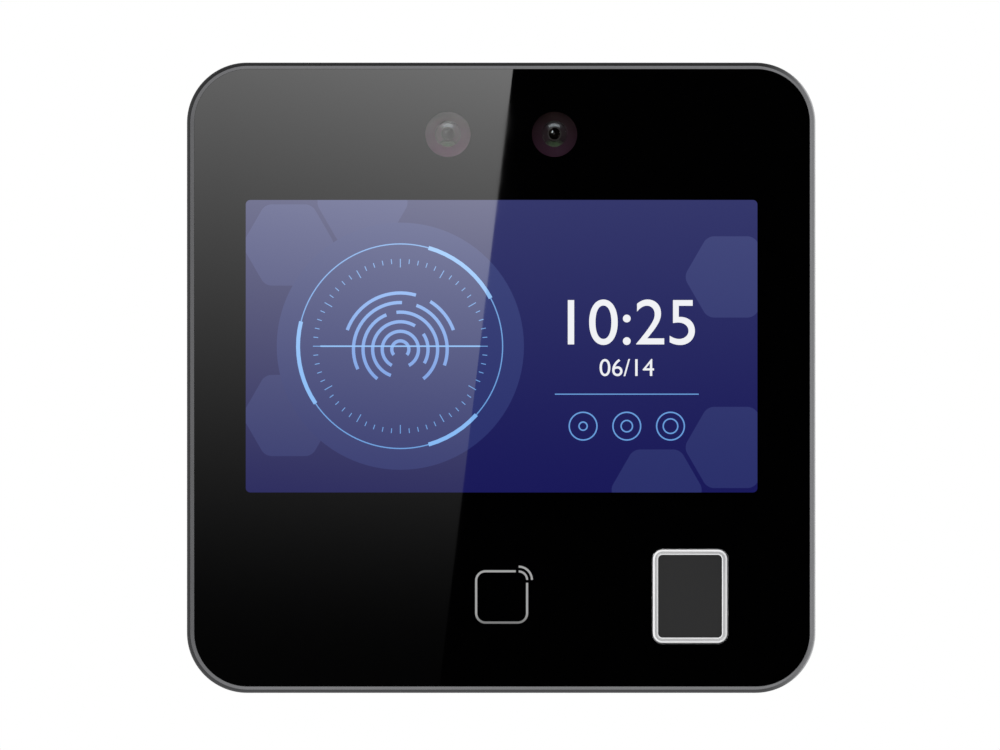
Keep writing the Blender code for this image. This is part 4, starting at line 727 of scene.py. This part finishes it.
def buildDial():
    look = dialLook
    center = onScreen(*look["place"])
    disc = bmesh.new()
    y, thick = film("dial")
    turnProfile(disc, [(0, y), (look["disc"], y), (look["disc"], y + thick), (0, y + thick)], center,
                look["discSteps"])
    addPiece("screenDisc", disc, skins["dialLit"])
    lines = bmesh.new()
    y, thick = film("lines")
    flatRing(lines, *around(look["ring"], look["line"]), y, thick, center, look["ringSteps"])
    for index in range(look["ticks"]):
        part = bmesh.new()
        tall = look["tickLength"] * (look["longTick"] if index % look["longEvery"] == 0 else 1.0)
        slab(part, (look["tickInner"] - tall, look["tickInner"]), (y, y + thick),
             around(0, look["tickWidth"]))
        turn = Matrix.Rotation(math.tau * index / look["ticks"], 3, "Y")
        bmesh.ops.rotate(part, verts=part.verts, cent=(0, 0, 0), matrix=turn)
        bmesh.ops.translate(part, verts=part.verts, vec=(center[0], 0, center[1]))
        pour(part, lines)
    addPiece("screenDialLines", lines, skins["lineLit"])
    arcs = bmesh.new()
    y, thick = film("digits")
    for start, end in look["arcs"]:
        sweepArc(arcs, center, look["ring"], look["arc"], start, end, y, thick)
    addPiece("screenArcs", arcs, skins["arcLit"])
    marks = bmesh.new()
    markCenter = (center[0], center[1] - look["markDrop"])
    for radius, (start, end) in look["marks"]:
        sweepArc(marks, markCenter, radius, look["markWidth"], start, end, y, thick)
    addPiece("screenFingerMark", marks, skins["printLit"])
    scan = bmesh.new()
    y, thick = film("scan")
    slab(scan, around(center[0], look["scan"]), (y, y + thick), around(center[1], look["scanWidth"]))
    addPiece("screenScanLine", scan, skins["arcLit"])


clockLook = {"time": "10:25", "timeSize": 0.0122, "timePlace": (0.0235, 0.0040), "date": "06/14",
             "dateSize": 0.0046, "datePlace": (0.0235, -0.0042), "rule": 0.0270, "ruleWidth": 0.0002,
             "rulePlace": (0.0235, -0.0090), "keys": 3, "keyPitch": 0.0082, "keyRadius": 0.0026,
             "keyZ": -0.0150, "keyLine": 0.00026, "keySteps": 48, "dotRadius": 0.0009, "dotGrowth": 0.0003,
             "dotSteps": 32}


def layText(bm, text, size, place):
    y, thick = film("digits")
    curve = bpy.data.curves.new("screenText", "FONT")
    curve.body = text
    curve.size = size
    curve.align_x = "CENTER"
    curve.align_y = "CENTER"
    curve.extrude = thick / 2
    holder = bpy.data.objects.new("screenText", curve)
    scene.collection.objects.link(holder)
    shaped = holder.evaluated_get(bpy.context.evaluated_depsgraph_get())
    mesh = bpy.data.meshes.new_from_object(shaped)
    mesh.transform(frontPlace(place, y + thick / 2))
    bm.from_mesh(mesh)
    bpy.data.meshes.remove(mesh)
    bpy.data.objects.remove(holder)
    bpy.data.curves.remove(curve)


def buildClock():
    look = clockLook
    bm = bmesh.new()
    layText(bm, look["time"], look["timeSize"], onScreen(*look["timePlace"]))
    layText(bm, look["date"], look["dateSize"], onScreen(*look["datePlace"]))
    addPiece("screenClock", bm, skins["digitLit"])
    keys = bmesh.new()
    y, thick = film("digits")
    x, z = onScreen(*look["rulePlace"])
    slab(keys, around(x, look["rule"]), (y, y + thick), around(z, look["ruleWidth"]))
    for index in range(look["keys"]):
        aside = (index - (look["keys"] - 1) / 2) * look["keyPitch"]
        center = onScreen(look["timePlace"][0] + aside, look["keyZ"])
        flatRing(keys, *around(look["keyRadius"], look["keyLine"]), y, thick, center, look["keySteps"])
        dot = look["dotRadius"] + look["dotGrowth"] * index
        flatRing(keys, dot - look["keyLine"], dot, y, thick, center, look["dotSteps"])
    addPiece("screenKeys", keys, skins["lineLit"])


buildTiles()
buildDial()
buildClock()
print("display built")


# cameras: plum cone, seat ring, coated dome and the small dark front lens in its lip

cameraLook = {"outer": 0.00455, "outerEdge": 0.0001, "coneInner": 0.00245, "glassGap": 0.00005,
              "coneDepth": 0.00042, "pocket": 0.0002, "seatInner": 0.00222, "seatTilt": 28,
              "seatFit": 0.00002, "seatDepth": 0.0006, "domeRim": 0.00220, "ball": 0.0045, "domeSteps": 10,
              "lipOuter": 0.00130, "lipInner": 0.00109, "lipRise": 0.00005, "frontSink": 0.00006,
              "frontBall": 0.0044, "frontSteps": 8, "steps": 72, "plumHeight": 0.0070}


def capProfile(outer, inner, rimY, ball, steps):
    # arc of a ball from the outer radius to the inner one, bulging towards the front
    start, end = math.asin(outer / ball), math.asin(inner / ball)
    points = []
    for step in range(steps + 1):
        angle = start + (end - start) * step / steps
        points.append((ball * math.sin(angle), rimY + ball * (math.cos(start) - math.cos(angle))))
    return points


def buildCamera(side):
    look = cameraLook
    barrelBack = barrelBoxes[side][1].y
    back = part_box(side + "_camera_lens")[1].y
    center = cameraPlaces[side]
    front = glassHigh.y + look["glassGap"]
    floor = front + look["coneDepth"]
    pocket = back + look["pocket"]
    barrel = bmesh.new()
    turnProfile(barrel, [(0, barrelBack), (look["outer"], barrelBack),
                         (look["outer"], front + look["outerEdge"]),
                         (look["outer"] - look["outerEdge"], front), (look["coneInner"], floor),
                         (look["coneInner"], pocket), (0, pocket)], center, look["steps"])
    addPiece(side + "CameraBarrel", barrel, skins[side + "Plum"], [side + "_camera_barrel"])
    seat = bmesh.new()
    outer, inner = look["coneInner"] - look["seatFit"], look["seatInner"]
    rim = floor + (look["coneInner"] - inner) * math.tan(math.radians(look["seatTilt"]))
    seatBack = floor + look["seatDepth"]
    turnProfile(seat, [(inner, rim), (outer, floor), (outer, seatBack), (inner, seatBack)], center,
                look["steps"], closed=True)
    addPiece(side + "CameraSeat", seat, skins[side + "Seat"])
    dome = capProfile(look["domeRim"], look["lipOuter"], rim, look["ball"], look["domeSteps"])
    crest = dome[-1][1]
    lip = [(look["lipOuter"], crest - look["lipRise"]), (look["lipInner"], crest - look["lipRise"])]
    small = capProfile(look["lipInner"], 0, crest + look["frontSink"], look["frontBall"], look["frontSteps"])
    glass = bmesh.new()
    turnProfile(glass, [(0, back), (look["domeRim"], back)] + dome + lip + small, center, look["steps"])
    for face in glass.faces:
        middle = face.calc_center_median()
        radius = math.hypot(middle.x - center[0], middle.z - center[1])
        if radius < look["lipInner"]:
            face.material_index = 1
        elif radius < look["lipOuter"] + tiny:
            face.material_index = 2
    finish = [skins[side + "Coat"], skins["lensBlack"], skins["lensLip"]]
    addPiece(side + "CameraLens", glass, finish, [side + "_camera_lens"])


# the lens coat: a painted silver highlight above the lens's middle and a painted green reflection below it
coatLook = {"x": cameraPlaces["right"][0], "z": cameraPlaces["right"][1], "ior": 1.15, "gloss": (0.05, 0.09),
            "paintedGlintAbove": (0.160, 0.176, 0.182), "glintAboveTurn": (0.62, 0.914), "glintAboveRim": (0.00175, 0.00225),
            "paintedGlintBelow": (0.030, 0.050, 0.025), "glintBelowTurn": (-0.70, -0.98), "glintBelowRim": (0.0011, 0.0019)}
# the seat ring: dull metal painted on its upper part and a painted grey-green highlight along its lower rim
seatPaintedGlints = {"paintedGlintAbove": (0.020, 0.020, 0.018), "glintAboveRim": (0.003, 0.004), "paintedGlintBelow": (0.042, 0.055, 0.038),
            "glintBelowTurn": (-0.66, -0.96), "glintBelowRim": (0.0018, 0.0022)}
# over this span the plum is painted darker towards the top, as painted shade
plumLook = {"span": around(coatLook["z"], cameraLook["plumHeight"]), "gloss": (0.55, 0.65), "scale": 9000.0,
            "bump": 0.10, "ior": 1.2, "underGlass": True}
cameraTones = {
    # the plum's grain, its painted shade at the top and the dome; the left camera's colours are painted
    # lighter, as painted light, since it lies in the lit half of the glass
    "left": {"dark": (0.085, 0.025, 0.060), "light": (0.100, 0.032, 0.072), "upper": (0.022, 0.012, 0.011),
             "dome": (0.062, 0.043, 0.050)},
    "right": {"dark": (0.0305, 0.0093, 0.0222), "light": (0.0362, 0.0118, 0.0271),
              "upper": (0.0195, 0.0094, 0.0098), "dome": (0.024, 0.015, 0.019)},
}
for side, tones in cameraTones.items():
    dome = {"dark": tones["dome"]}
    skins[side + "Plum"] = grainFinish(side + "Plum", plumLook | tones)
    # the coat and the seat carry the painted highlight and the painted green reflection
    skins[side + "Coat"] = coatWithPaintedGlints(side + "Coat", coatLook | dome)
    skins[side + "Seat"] = coatWithPaintedGlints(side + "Seat", coatLook | seatPaintedGlints | dome)
    buildCamera(side)
print("cameras built")


# fingerprint sensor: bright bezel with two ridges and a groove, matte pad

bezelLook = {"edgeDrop": 0.00017, "ridge": 0.00035, "groove": 0.00058, "grooveDrop": 0.00007,
             "innerRidge": 0.00080, "innerDrop": 0.00008, "flange": 0.0012, "flangeThickness": 0.0009,
             "steps": 14, "padGap": 0.00002, "padEdge": 0.00005, "padSteps": 3}


def buildSensor():
    look = bezelLook
    crest, back, band = sensorLow.y, sensorHigh.y, sensorLook["band"]
    shoulder = back - look["flangeThickness"]
    rings = []
    for inset, y in ((-look["flange"], back), (-look["flange"], shoulder), (0, shoulder),
                     (0, crest + look["edgeDrop"]), (look["ridge"], crest),
                     (look["groove"], crest + look["grooveDrop"]), (look["innerRidge"], crest),
                     (band, crest + look["innerDrop"]), (band, back)):
        rings.append(sensorRing(inset, y))
    bm = bmesh.new()
    bandThrough(bm, rings, look["steps"])
    addPiece("sensorBezel", bm, skins["sensorChrome"], ["fingerprint_bezel"], sharp=25)
    padLow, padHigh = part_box("fingerprint_sensor")
    pad = bmesh.new()
    edges = roundedLoop(pad, *sensorRing(band + look["padGap"], padLow.y))
    faces = bmesh.ops.contextual_create(pad, geom=edges)["faces"]
    thicken(pad, faces, padHigh.y - padLow.y)
    soften(pad, look["padEdge"], look["padSteps"])
    addPiece("sensorPadSkin", pad, skins["sensorPad"], ["fingerprint_sensor"])


buildSensor()
print("fingerprint sensor built")


# card mark: rounded square with its corner lifted off as two arcs

cardLook = {"place": (0.00008, -0.04113), "width": 0.00997, "height": 0.01004, "corner": 0.00195,
            "line": 0.00041, "arcLine": 0.00039, "gapEnd": 0.00266, "arcCenter": 0.00320,
            "arcs": (0.00158, 0.00248), "thickness": 0.00002, "low": (0.20, 0.20, 0.20),
            "high": (0.36, 0.36, 0.36), "span": (-0.0046, -0.0030)}
# the card mark glows as painted light, turning lighter across this span of heights
markSpan = [cardLook["place"][1] + height for height in cardLook["span"]]
skins["markPaintedGlow"] = paintedGlowFinish("markPaintedGlow", cardLook["low"], cardLook["high"], markSpan)


def buildCardMark():
    look = cardLook
    y = glassFront - look["thickness"]
    x, z = look["place"]
    endX, endZ = x + look["gapEnd"], z + look["gapEnd"]
    part = bmesh.new()
    edges = []
    for inset in (0, look["line"]):
        edges += roundedLoop(part, look["width"] - 2 * inset, look["height"] - 2 * inset,
                             look["corner"] - inset, y, look["place"])
    bmesh.ops.bridge_loops(part, edges=edges)
    for spot, normal in (((endX, y, z), (1, 0, 0)), ((x, y, endZ), (0, 0, 1))):
        bmesh.ops.bisect_plane(part, geom=everything(part), plane_co=spot, plane_no=normal)
    centers = [(face, face.calc_center_median()) for face in part.faces]
    lifted = [face for face, middle in centers if middle.x > endX and middle.z > endZ]
    bmesh.ops.delete(part, geom=lifted, context="FACES")
    thicken(part, part.faces[:], look["thickness"])
    center = (x + look["arcCenter"], z + look["arcCenter"])
    for radius in look["arcs"]:
        sweepArc(part, center, radius, look["arcLine"], 0, 90, y, look["thickness"])
    addPiece("cardMark", part, skins["markPaintedGlow"])


buildCardMark()
print("card mark built")


# back: housing, wall plate and fasteners, from their solids with softened edges

backLook = {
    # piece, finish, slot, body it rides on, width of its softened edges
    "rear_housing": ("housingShell", "blackPlastic", "black_plastic", "terminal", 0.00030),
    "wall_plate": ("plateSheet", "zincPlate", "plated_steel", "wall_mount", 0.00014),
    "security_screw": ("lockScrew", "screwSteel", "screw_steel", "wall_mount", 0.00016),
    "screw_insert": ("lockInsert", "insertBrass", "insert_brass", "terminal", 0.00012),
    "ethernet_jack": ("networkJack", "blackPlastic", "black_plastic", "terminal", 0.00020),
    "left_terminal_block": ("leftTerminal", "terminalGreen", "terminal_green", "terminal", 0.00014),
    "right_terminal_block": ("rightTerminal", "terminalGreen", "terminal_green", "terminal", 0.00014),
    "reset_switch": ("resetBody", "blackPlastic", "black_plastic", "terminal", 0.00018),
    "reset_button": ("resetKnob", "whitePlastic", "white_plastic", "reset", 0.00025),
    "tamper_plunger": ("tamperPin", "whitePlastic", "white_plastic", "tamper", 0.00025),
    "lock_relay": ("relayCase", "relayBlue", "relay_blue", "terminal", 0.00030),
    "network_transformer": ("transformerCase", "blackPlastic", "black_plastic", "terminal", 0.00025),
}
for index in range(1, 5):
    backLook[f"housing_screw_{index}"] = (f"housingScrew{index}", "screwSteel", "screw_steel", "terminal",
                                          0.00012)
for node, (name, skin, slot, body, edge) in backLook.items():
    addPiece(name, cadCopy(node, edge), skins[skin], [node], body, sharp=25, flats=True)
print("back pieces built:", len(backLook))


# tamper spring: rests on the switch under the plunger's flange; a copy of its solid with a mesh of its own

springLook = {"joint": "tamper_press", "travel": 0.0010, "along": (0, 1, 0), "sharp": 60}


def buildSpring():
    spring = addPiece("tamperSpring", cadCopy("tamper_spring"), skins["screwSteel"],
                      ["tamper_spring"], sharp=springLook["sharp"])
    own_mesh(spring)


buildSpring()
print("tamper spring built")


# small parts in the connector bay: release levers, chips on the board and link lamps

leverLook = {"poles": 7, "pitch": 0.00381, "size": 0.00165, "rise": 0.0006, "sink": 0.0009, "share": 0.25,
             "edge": 0.0002}
chipLook = {"rows": 4, "columns": 7, "seed": 11, "bare": 0.18, "bigShare": 0.25, "turnedShare": 0.4,
            "darkShare": 0.5, "big": (0.0034, 0.0028, 0.0011), "small": (0.0017, 0.0009, 0.0007),
            "side": 0.0020, "bottom": 0.0015, "top": 0.0020, "lift": 0.00002, "edge": 0.00012,
            "edgeSteps": 1}
linkLook = {"inset": 0.0011, "tall": 0.0008, "reachX": (-0.0004, 0.0002), "reachY": (-0.0030, -0.0010),
            "edge": 0.0001, "gloss": (0.2, 0.3), "scale": 3000.0, "bump": 0.05}
linkTones = {
    # which end of the socket, then the lamp's colours
    "linkLampAmber": (1, (0.42, 0.16, 0.01), (0.55, 0.22, 0.02)),
    "linkLampGreen": (-1, (0.03, 0.30, 0.05), (0.05, 0.40, 0.07)),
}


def buildLevers():
    look = leverLook
    bm = bmesh.new()
    for side in ("left", "right"):
        low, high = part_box(side + "_terminal_block")
        middleX, middleZ = middleOf(low, high)
        z = middleZ + (high.z - low.z) * look["share"]
        for pole in range(look["poles"]):
            x = middleX + (pole - (look["poles"] - 1) / 2) * look["pitch"]
            slab(bm, around(x, look["size"]), (high.y - look["sink"], high.y + look["rise"]),
                 around(z, look["size"]), look["edge"])
    addPiece("terminalLevers", bm, skins["leverOrange"])


def buildChips():
    look = chipLook
    draw = random.Random(look["seed"])
    jackLow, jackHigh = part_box("ethernet_jack")
    left, right = jackHigh.x + look["side"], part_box("reset_switch")[0].x - look["side"]
    bottom, top = jackLow.z + look["bottom"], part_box("left_terminal_block")[0].z - look["top"]
    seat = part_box("main_board")[1].y
    dark = bmesh.new()
    tan = bmesh.new()
    for row in range(look["rows"]):
        z = bottom + (top - bottom) * (row + 0.5) / look["rows"]
        for column in range(look["columns"]):
            x = left + (right - left) * (column + 0.5) / look["columns"]
            if draw.random() < look["bare"]:
                continue
            big = draw.random() < look["bigShare"]
            across, tall, rise = look["big"] if big else look["small"]
            if draw.random() < look["turnedShare"]:
                across, tall = tall, across
            target = dark if big or draw.random() < look["darkShare"] else tan
            slab(target, around(x, across), (seat + look["lift"], seat + rise), around(z, tall),
                 look["edge"], look["edgeSteps"])
    addPiece("bayChips", dark, skins["chipBlack"])
    addPiece("bayCapacitors", tan, skins["chipTan"])


def buildLinkLamps():
    look = linkLook
    low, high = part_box("ethernet_jack")
    for name, (end, dark, light) in linkTones.items():
        z = middleOf(low, high)[1] + end * ((high.z - low.z) / 2 - look["inset"])
        bm = bmesh.new()
        slab(bm, [high.x + reach for reach in look["reachX"]], [high.y + reach for reach in look["reachY"]],
             around(z, look["tall"]), look["edge"])
        skins[name] = grainFinish(name, look | {"dark": dark, "light": light})
        addPiece(name, bm, skins[name])


buildLevers()
buildChips()
buildLinkLamps()
print("bay parts built")


# inner pieces keep their solids and get their finish

innerSkins = {
    "sealRubber": ["glass_tape", "fingerprint_foam", "speaker_gasket", "speaker_lead", "housing_gasket"],
    "whitePlastic": ["backlight_unit", "lcd_connector"],
    "flexAmber": ["lcd_flex", "camera_flex", "fingerprint_flex"],
    "boardBlack": ["camera_board", "left_infrared_board", "right_infrared_board"],
    "boardGreen": ["fingerprint_board", "card_antenna", "main_board"],
    "greyPlastic": ["inner_chassis"],
    "panelBlack": ["lcd_panel"],
    "screwSteel": ["board_screw_1", "board_screw_2", "board_screw_3", "board_screw_4", "clock_battery"],
    "chipBlack": ["processor", "tamper_switch", "battery_holder", "speaker"],
    "zincPlate": ["shield_can", "supply_capacitor_1", "supply_capacitor_2"],
    "contactGold": ["jack_contacts"],
}
for skin, nodes in innerSkins.items():
    for node in nodes:
        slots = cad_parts[node].data.materials
        slots.clear()
        slots.append(skins[skin])
print("inner pieces finished")


# light: white room for the camera, pale tent for the metal, lit card for the glass, lamps for matt pieces

stageLook = {"floorDrop": 0.85, "floorSize": 8.0, "floorGlow": 0.46, "ambient": 0.55, "white": 1.0}
floorLook = {"dark": (0.80, 0.80, 0.80), "light": (0.82, 0.82, 0.82), "gloss": (0.6, 0.7), "scale": 40.0,
             "bump": 0.02}
tentLook = {"ringFade": (0.84, 0.76), "ringLevel": 1.13, "ringLean": -0.28, "ringLift": 0.06,
            "backFade": (0.34, 0.20), "backLow": 0.34, "backHigh": 0.12, "backSpan": (-0.9, 0.9),
            "backRight": 0.85, "rightSpan": (0.2, 0.9)}


def buildWorld():
    # white to the camera, soft to matt surfaces; gloss sees a pale tent beside and behind, dark in front
    world = bpy.data.worlds.new("studio")
    scene.world = world
    world.use_nodes = True
    tree = world.node_tree
    tree.nodes.clear()
    look = tentLook
    axes = axesOf(tree, addNode(tree, "TexCoord").outputs["Generated"])  # the way a ray goes
    toFront = times(tree, axes["Y"], -1.0)
    behind = mapRange(tree, toFront, *look["backFade"])
    notBehind = mathStep(tree, "SUBTRACT", 1.0, behind)
    beside = times(tree, mapRange(tree, toFront, *look["ringFade"]), notBehind)
    slope = plus(tree, times(tree, axes["X"], look["ringLean"]), times(tree, axes["Z"], look["ringLift"]))
    ringLevel = plus(tree, slope, look["ringLevel"])
    backLevel = plus(tree, mapRange(tree, axes["Z"], *look["backSpan"], look["backLow"], look["backHigh"]),
                     mapRange(tree, axes["X"], *look["rightSpan"], 0.0, look["backRight"]))
    tent = plus(tree, times(tree, beside, ringLevel), times(tree, behind, backLevel))
    path = addNode(tree, "LightPath").outputs
    glossy = times(tree, path["Is Glossy Ray"], tent)
    soft = times(tree, path["Is Diffuse Ray"], stageLook["ambient"])
    seen = times(tree, path["Is Camera Ray"], stageLook["white"])
    level = mathStep(tree, "MAXIMUM", seen, mathStep(tree, "MAXIMUM", glossy, soft))
    shade = addNode(tree, "Background", {"Color": (1, 1, 1, 1), "Strength": level})
    addNode(tree, "OutputWorld", {"Surface": shade.outputs[0]})


def stageSheet(name, bm, material, unseenBy):
    sheet = meshObject(name, bm, material)
    for rays in unseenBy:
        setattr(sheet, "visible_" + rays, False)


def buildFloor():
    bm = bmesh.new()
    addSquare(bm, Matrix.Translation((0, 0, -stageLook["floorDrop"])), stageLook["floorSize"])
    material = grainFinish("paleFloor", floorLook)
    tree = material.node_tree
    shader = tree.nodes["Principled BSDF"]
    dress(tree, shader, {"Emission Strength": stageLook["floorGlow"]})
    openWhere(tree, shader, addNode(tree, "NewGeometry").outputs["Backfacing"])  # open when seen from below
    stageSheet("paleFloor", bm, material, ("glossy", "diffuse", "transmission"))  # metal shows the tent alone


glossLook = {"depth": 1.30, "top": (0.00222, 0.05801), "bottom": (-0.01159, -0.05792), "left": -0.075,
             "overrun": 0.012, "riseDrop": 0.004, "bright": 2.98, "power": 2.45,
             "gainSpan": (-0.0528, 0.0015), "rightGain": 0.31, "lowest": 0.02}


def buildGlossCard():
    # a lit card before the glass, unseen by the camera; its straight edge is mirrored as the slanted line
    look = glossLook
    grow = 1 + look["depth"] / shot["distance"]

    def mirroredX(x):
        return shot["x"] + (x - shot["x"]) * grow

    def mirroredZ(z):
        return shot["z"] + (z - shot["z"]) * grow

    (topX, topZ), (lowX, lowZ) = look["top"], look["bottom"]
    lean = (topX - lowX) / (topZ - lowZ)
    over = look["overrun"]
    bm = bmesh.new()
    corners = [(look["left"], lowZ - over), (lowX - lean * over, lowZ - over),
               (topX + lean * over, topZ + over), (look["left"], topZ + over)]
    verts = [bm.verts.new((mirroredX(x), glassFront - look["depth"], mirroredZ(z))) for x, z in corners]
    bmesh.ops.contextual_create(bm, geom=verts)
    material, tree, shader = startMaterial("glossCard")
    tree.nodes.remove(shader)
    rise = placeGroup(tree, "rise", Low=mirroredZ(lowZ - look["riseDrop"]), High=mirroredZ(topZ))["Mask"]
    upward = times(tree, mathStep(tree, "POWER", rise, look["power"]), look["bright"])
    gainStart, gainEnd = look["gainSpan"]
    across = mapRange(tree, axesOf(tree, objectPlace(tree))["X"], mirroredX(gainStart), mirroredX(gainEnd),
                      1.0, 1.0 + look["rightGain"])
    level = plus(tree, times(tree, upward, across), look["lowest"])
    show(tree, addNode(tree, "Emission", {"Strength": level}))
    stageSheet("glossCard", bm, material, ("camera", "shadow"))


lampLook = {
    # azimuth from the front towards +X, height angle, distance, size across, size up, brightness,
    # then the surfaces it lights
    "topBox": (0, 47, 0.60, 0.75, 0.27, 1.3, "soft"),
    "bottomBox": (0, -47, 0.60, 0.60, 0.24, 0.6, "soft"),
    "windowBox": (-9.8, 12.4, 0.95, 0.11, 0.19, 10.5, "gloss"),
    "leftFill": (-80, 10, 0.80, 0.40, 0.50, 1.2, "soft"),
    "rightFill": (80, 10, 0.80, 0.40, 0.50, 1.4, "soft"),
    "backLeft": (-150, 35, 0.80, 0.50, 0.50, 2.2, "soft"),
    "backRight": (145, 0, 0.80, 0.50, 0.90, 1.0, "both"),
    "backTop": (180, 70, 0.80, 0.60, 0.60, 1.6, "soft"),
}


def buildLamps():
    aim = Vector((0, glassFront, 0))
    for name, (azimuth, height, distance, across, tall, bright, lights) in lampLook.items():
        turn, lift = math.radians(azimuth), math.radians(height)
        away = Vector((math.sin(turn) * math.cos(lift), -math.cos(turn) * math.cos(lift), math.sin(lift)))
        lamp = bpy.data.lights.new(name, "AREA")
        lamp.shape = "RECTANGLE"
        lamp.size = across
        lamp.size_y = tall
        lamp.energy = bright * math.pi * across * tall
        holder = bpy.data.objects.new(name, lamp)
        holder.location = aim + away * distance
        holder.rotation_euler = away.to_track_quat("Z", "Y").to_euler()
        holder.visible_camera = False
        holder.visible_diffuse = lights != "gloss"
        holder.visible_glossy = lights != "soft"
        holder.visible_transmission = lights != "soft"
        scene.collection.objects.link(holder)


buildWorld()
buildFloor()
buildGlossCard()
buildLamps()
scene.view_settings.view_transform = "Standard"
scene.view_settings.look = "None"
print("stage and light set")
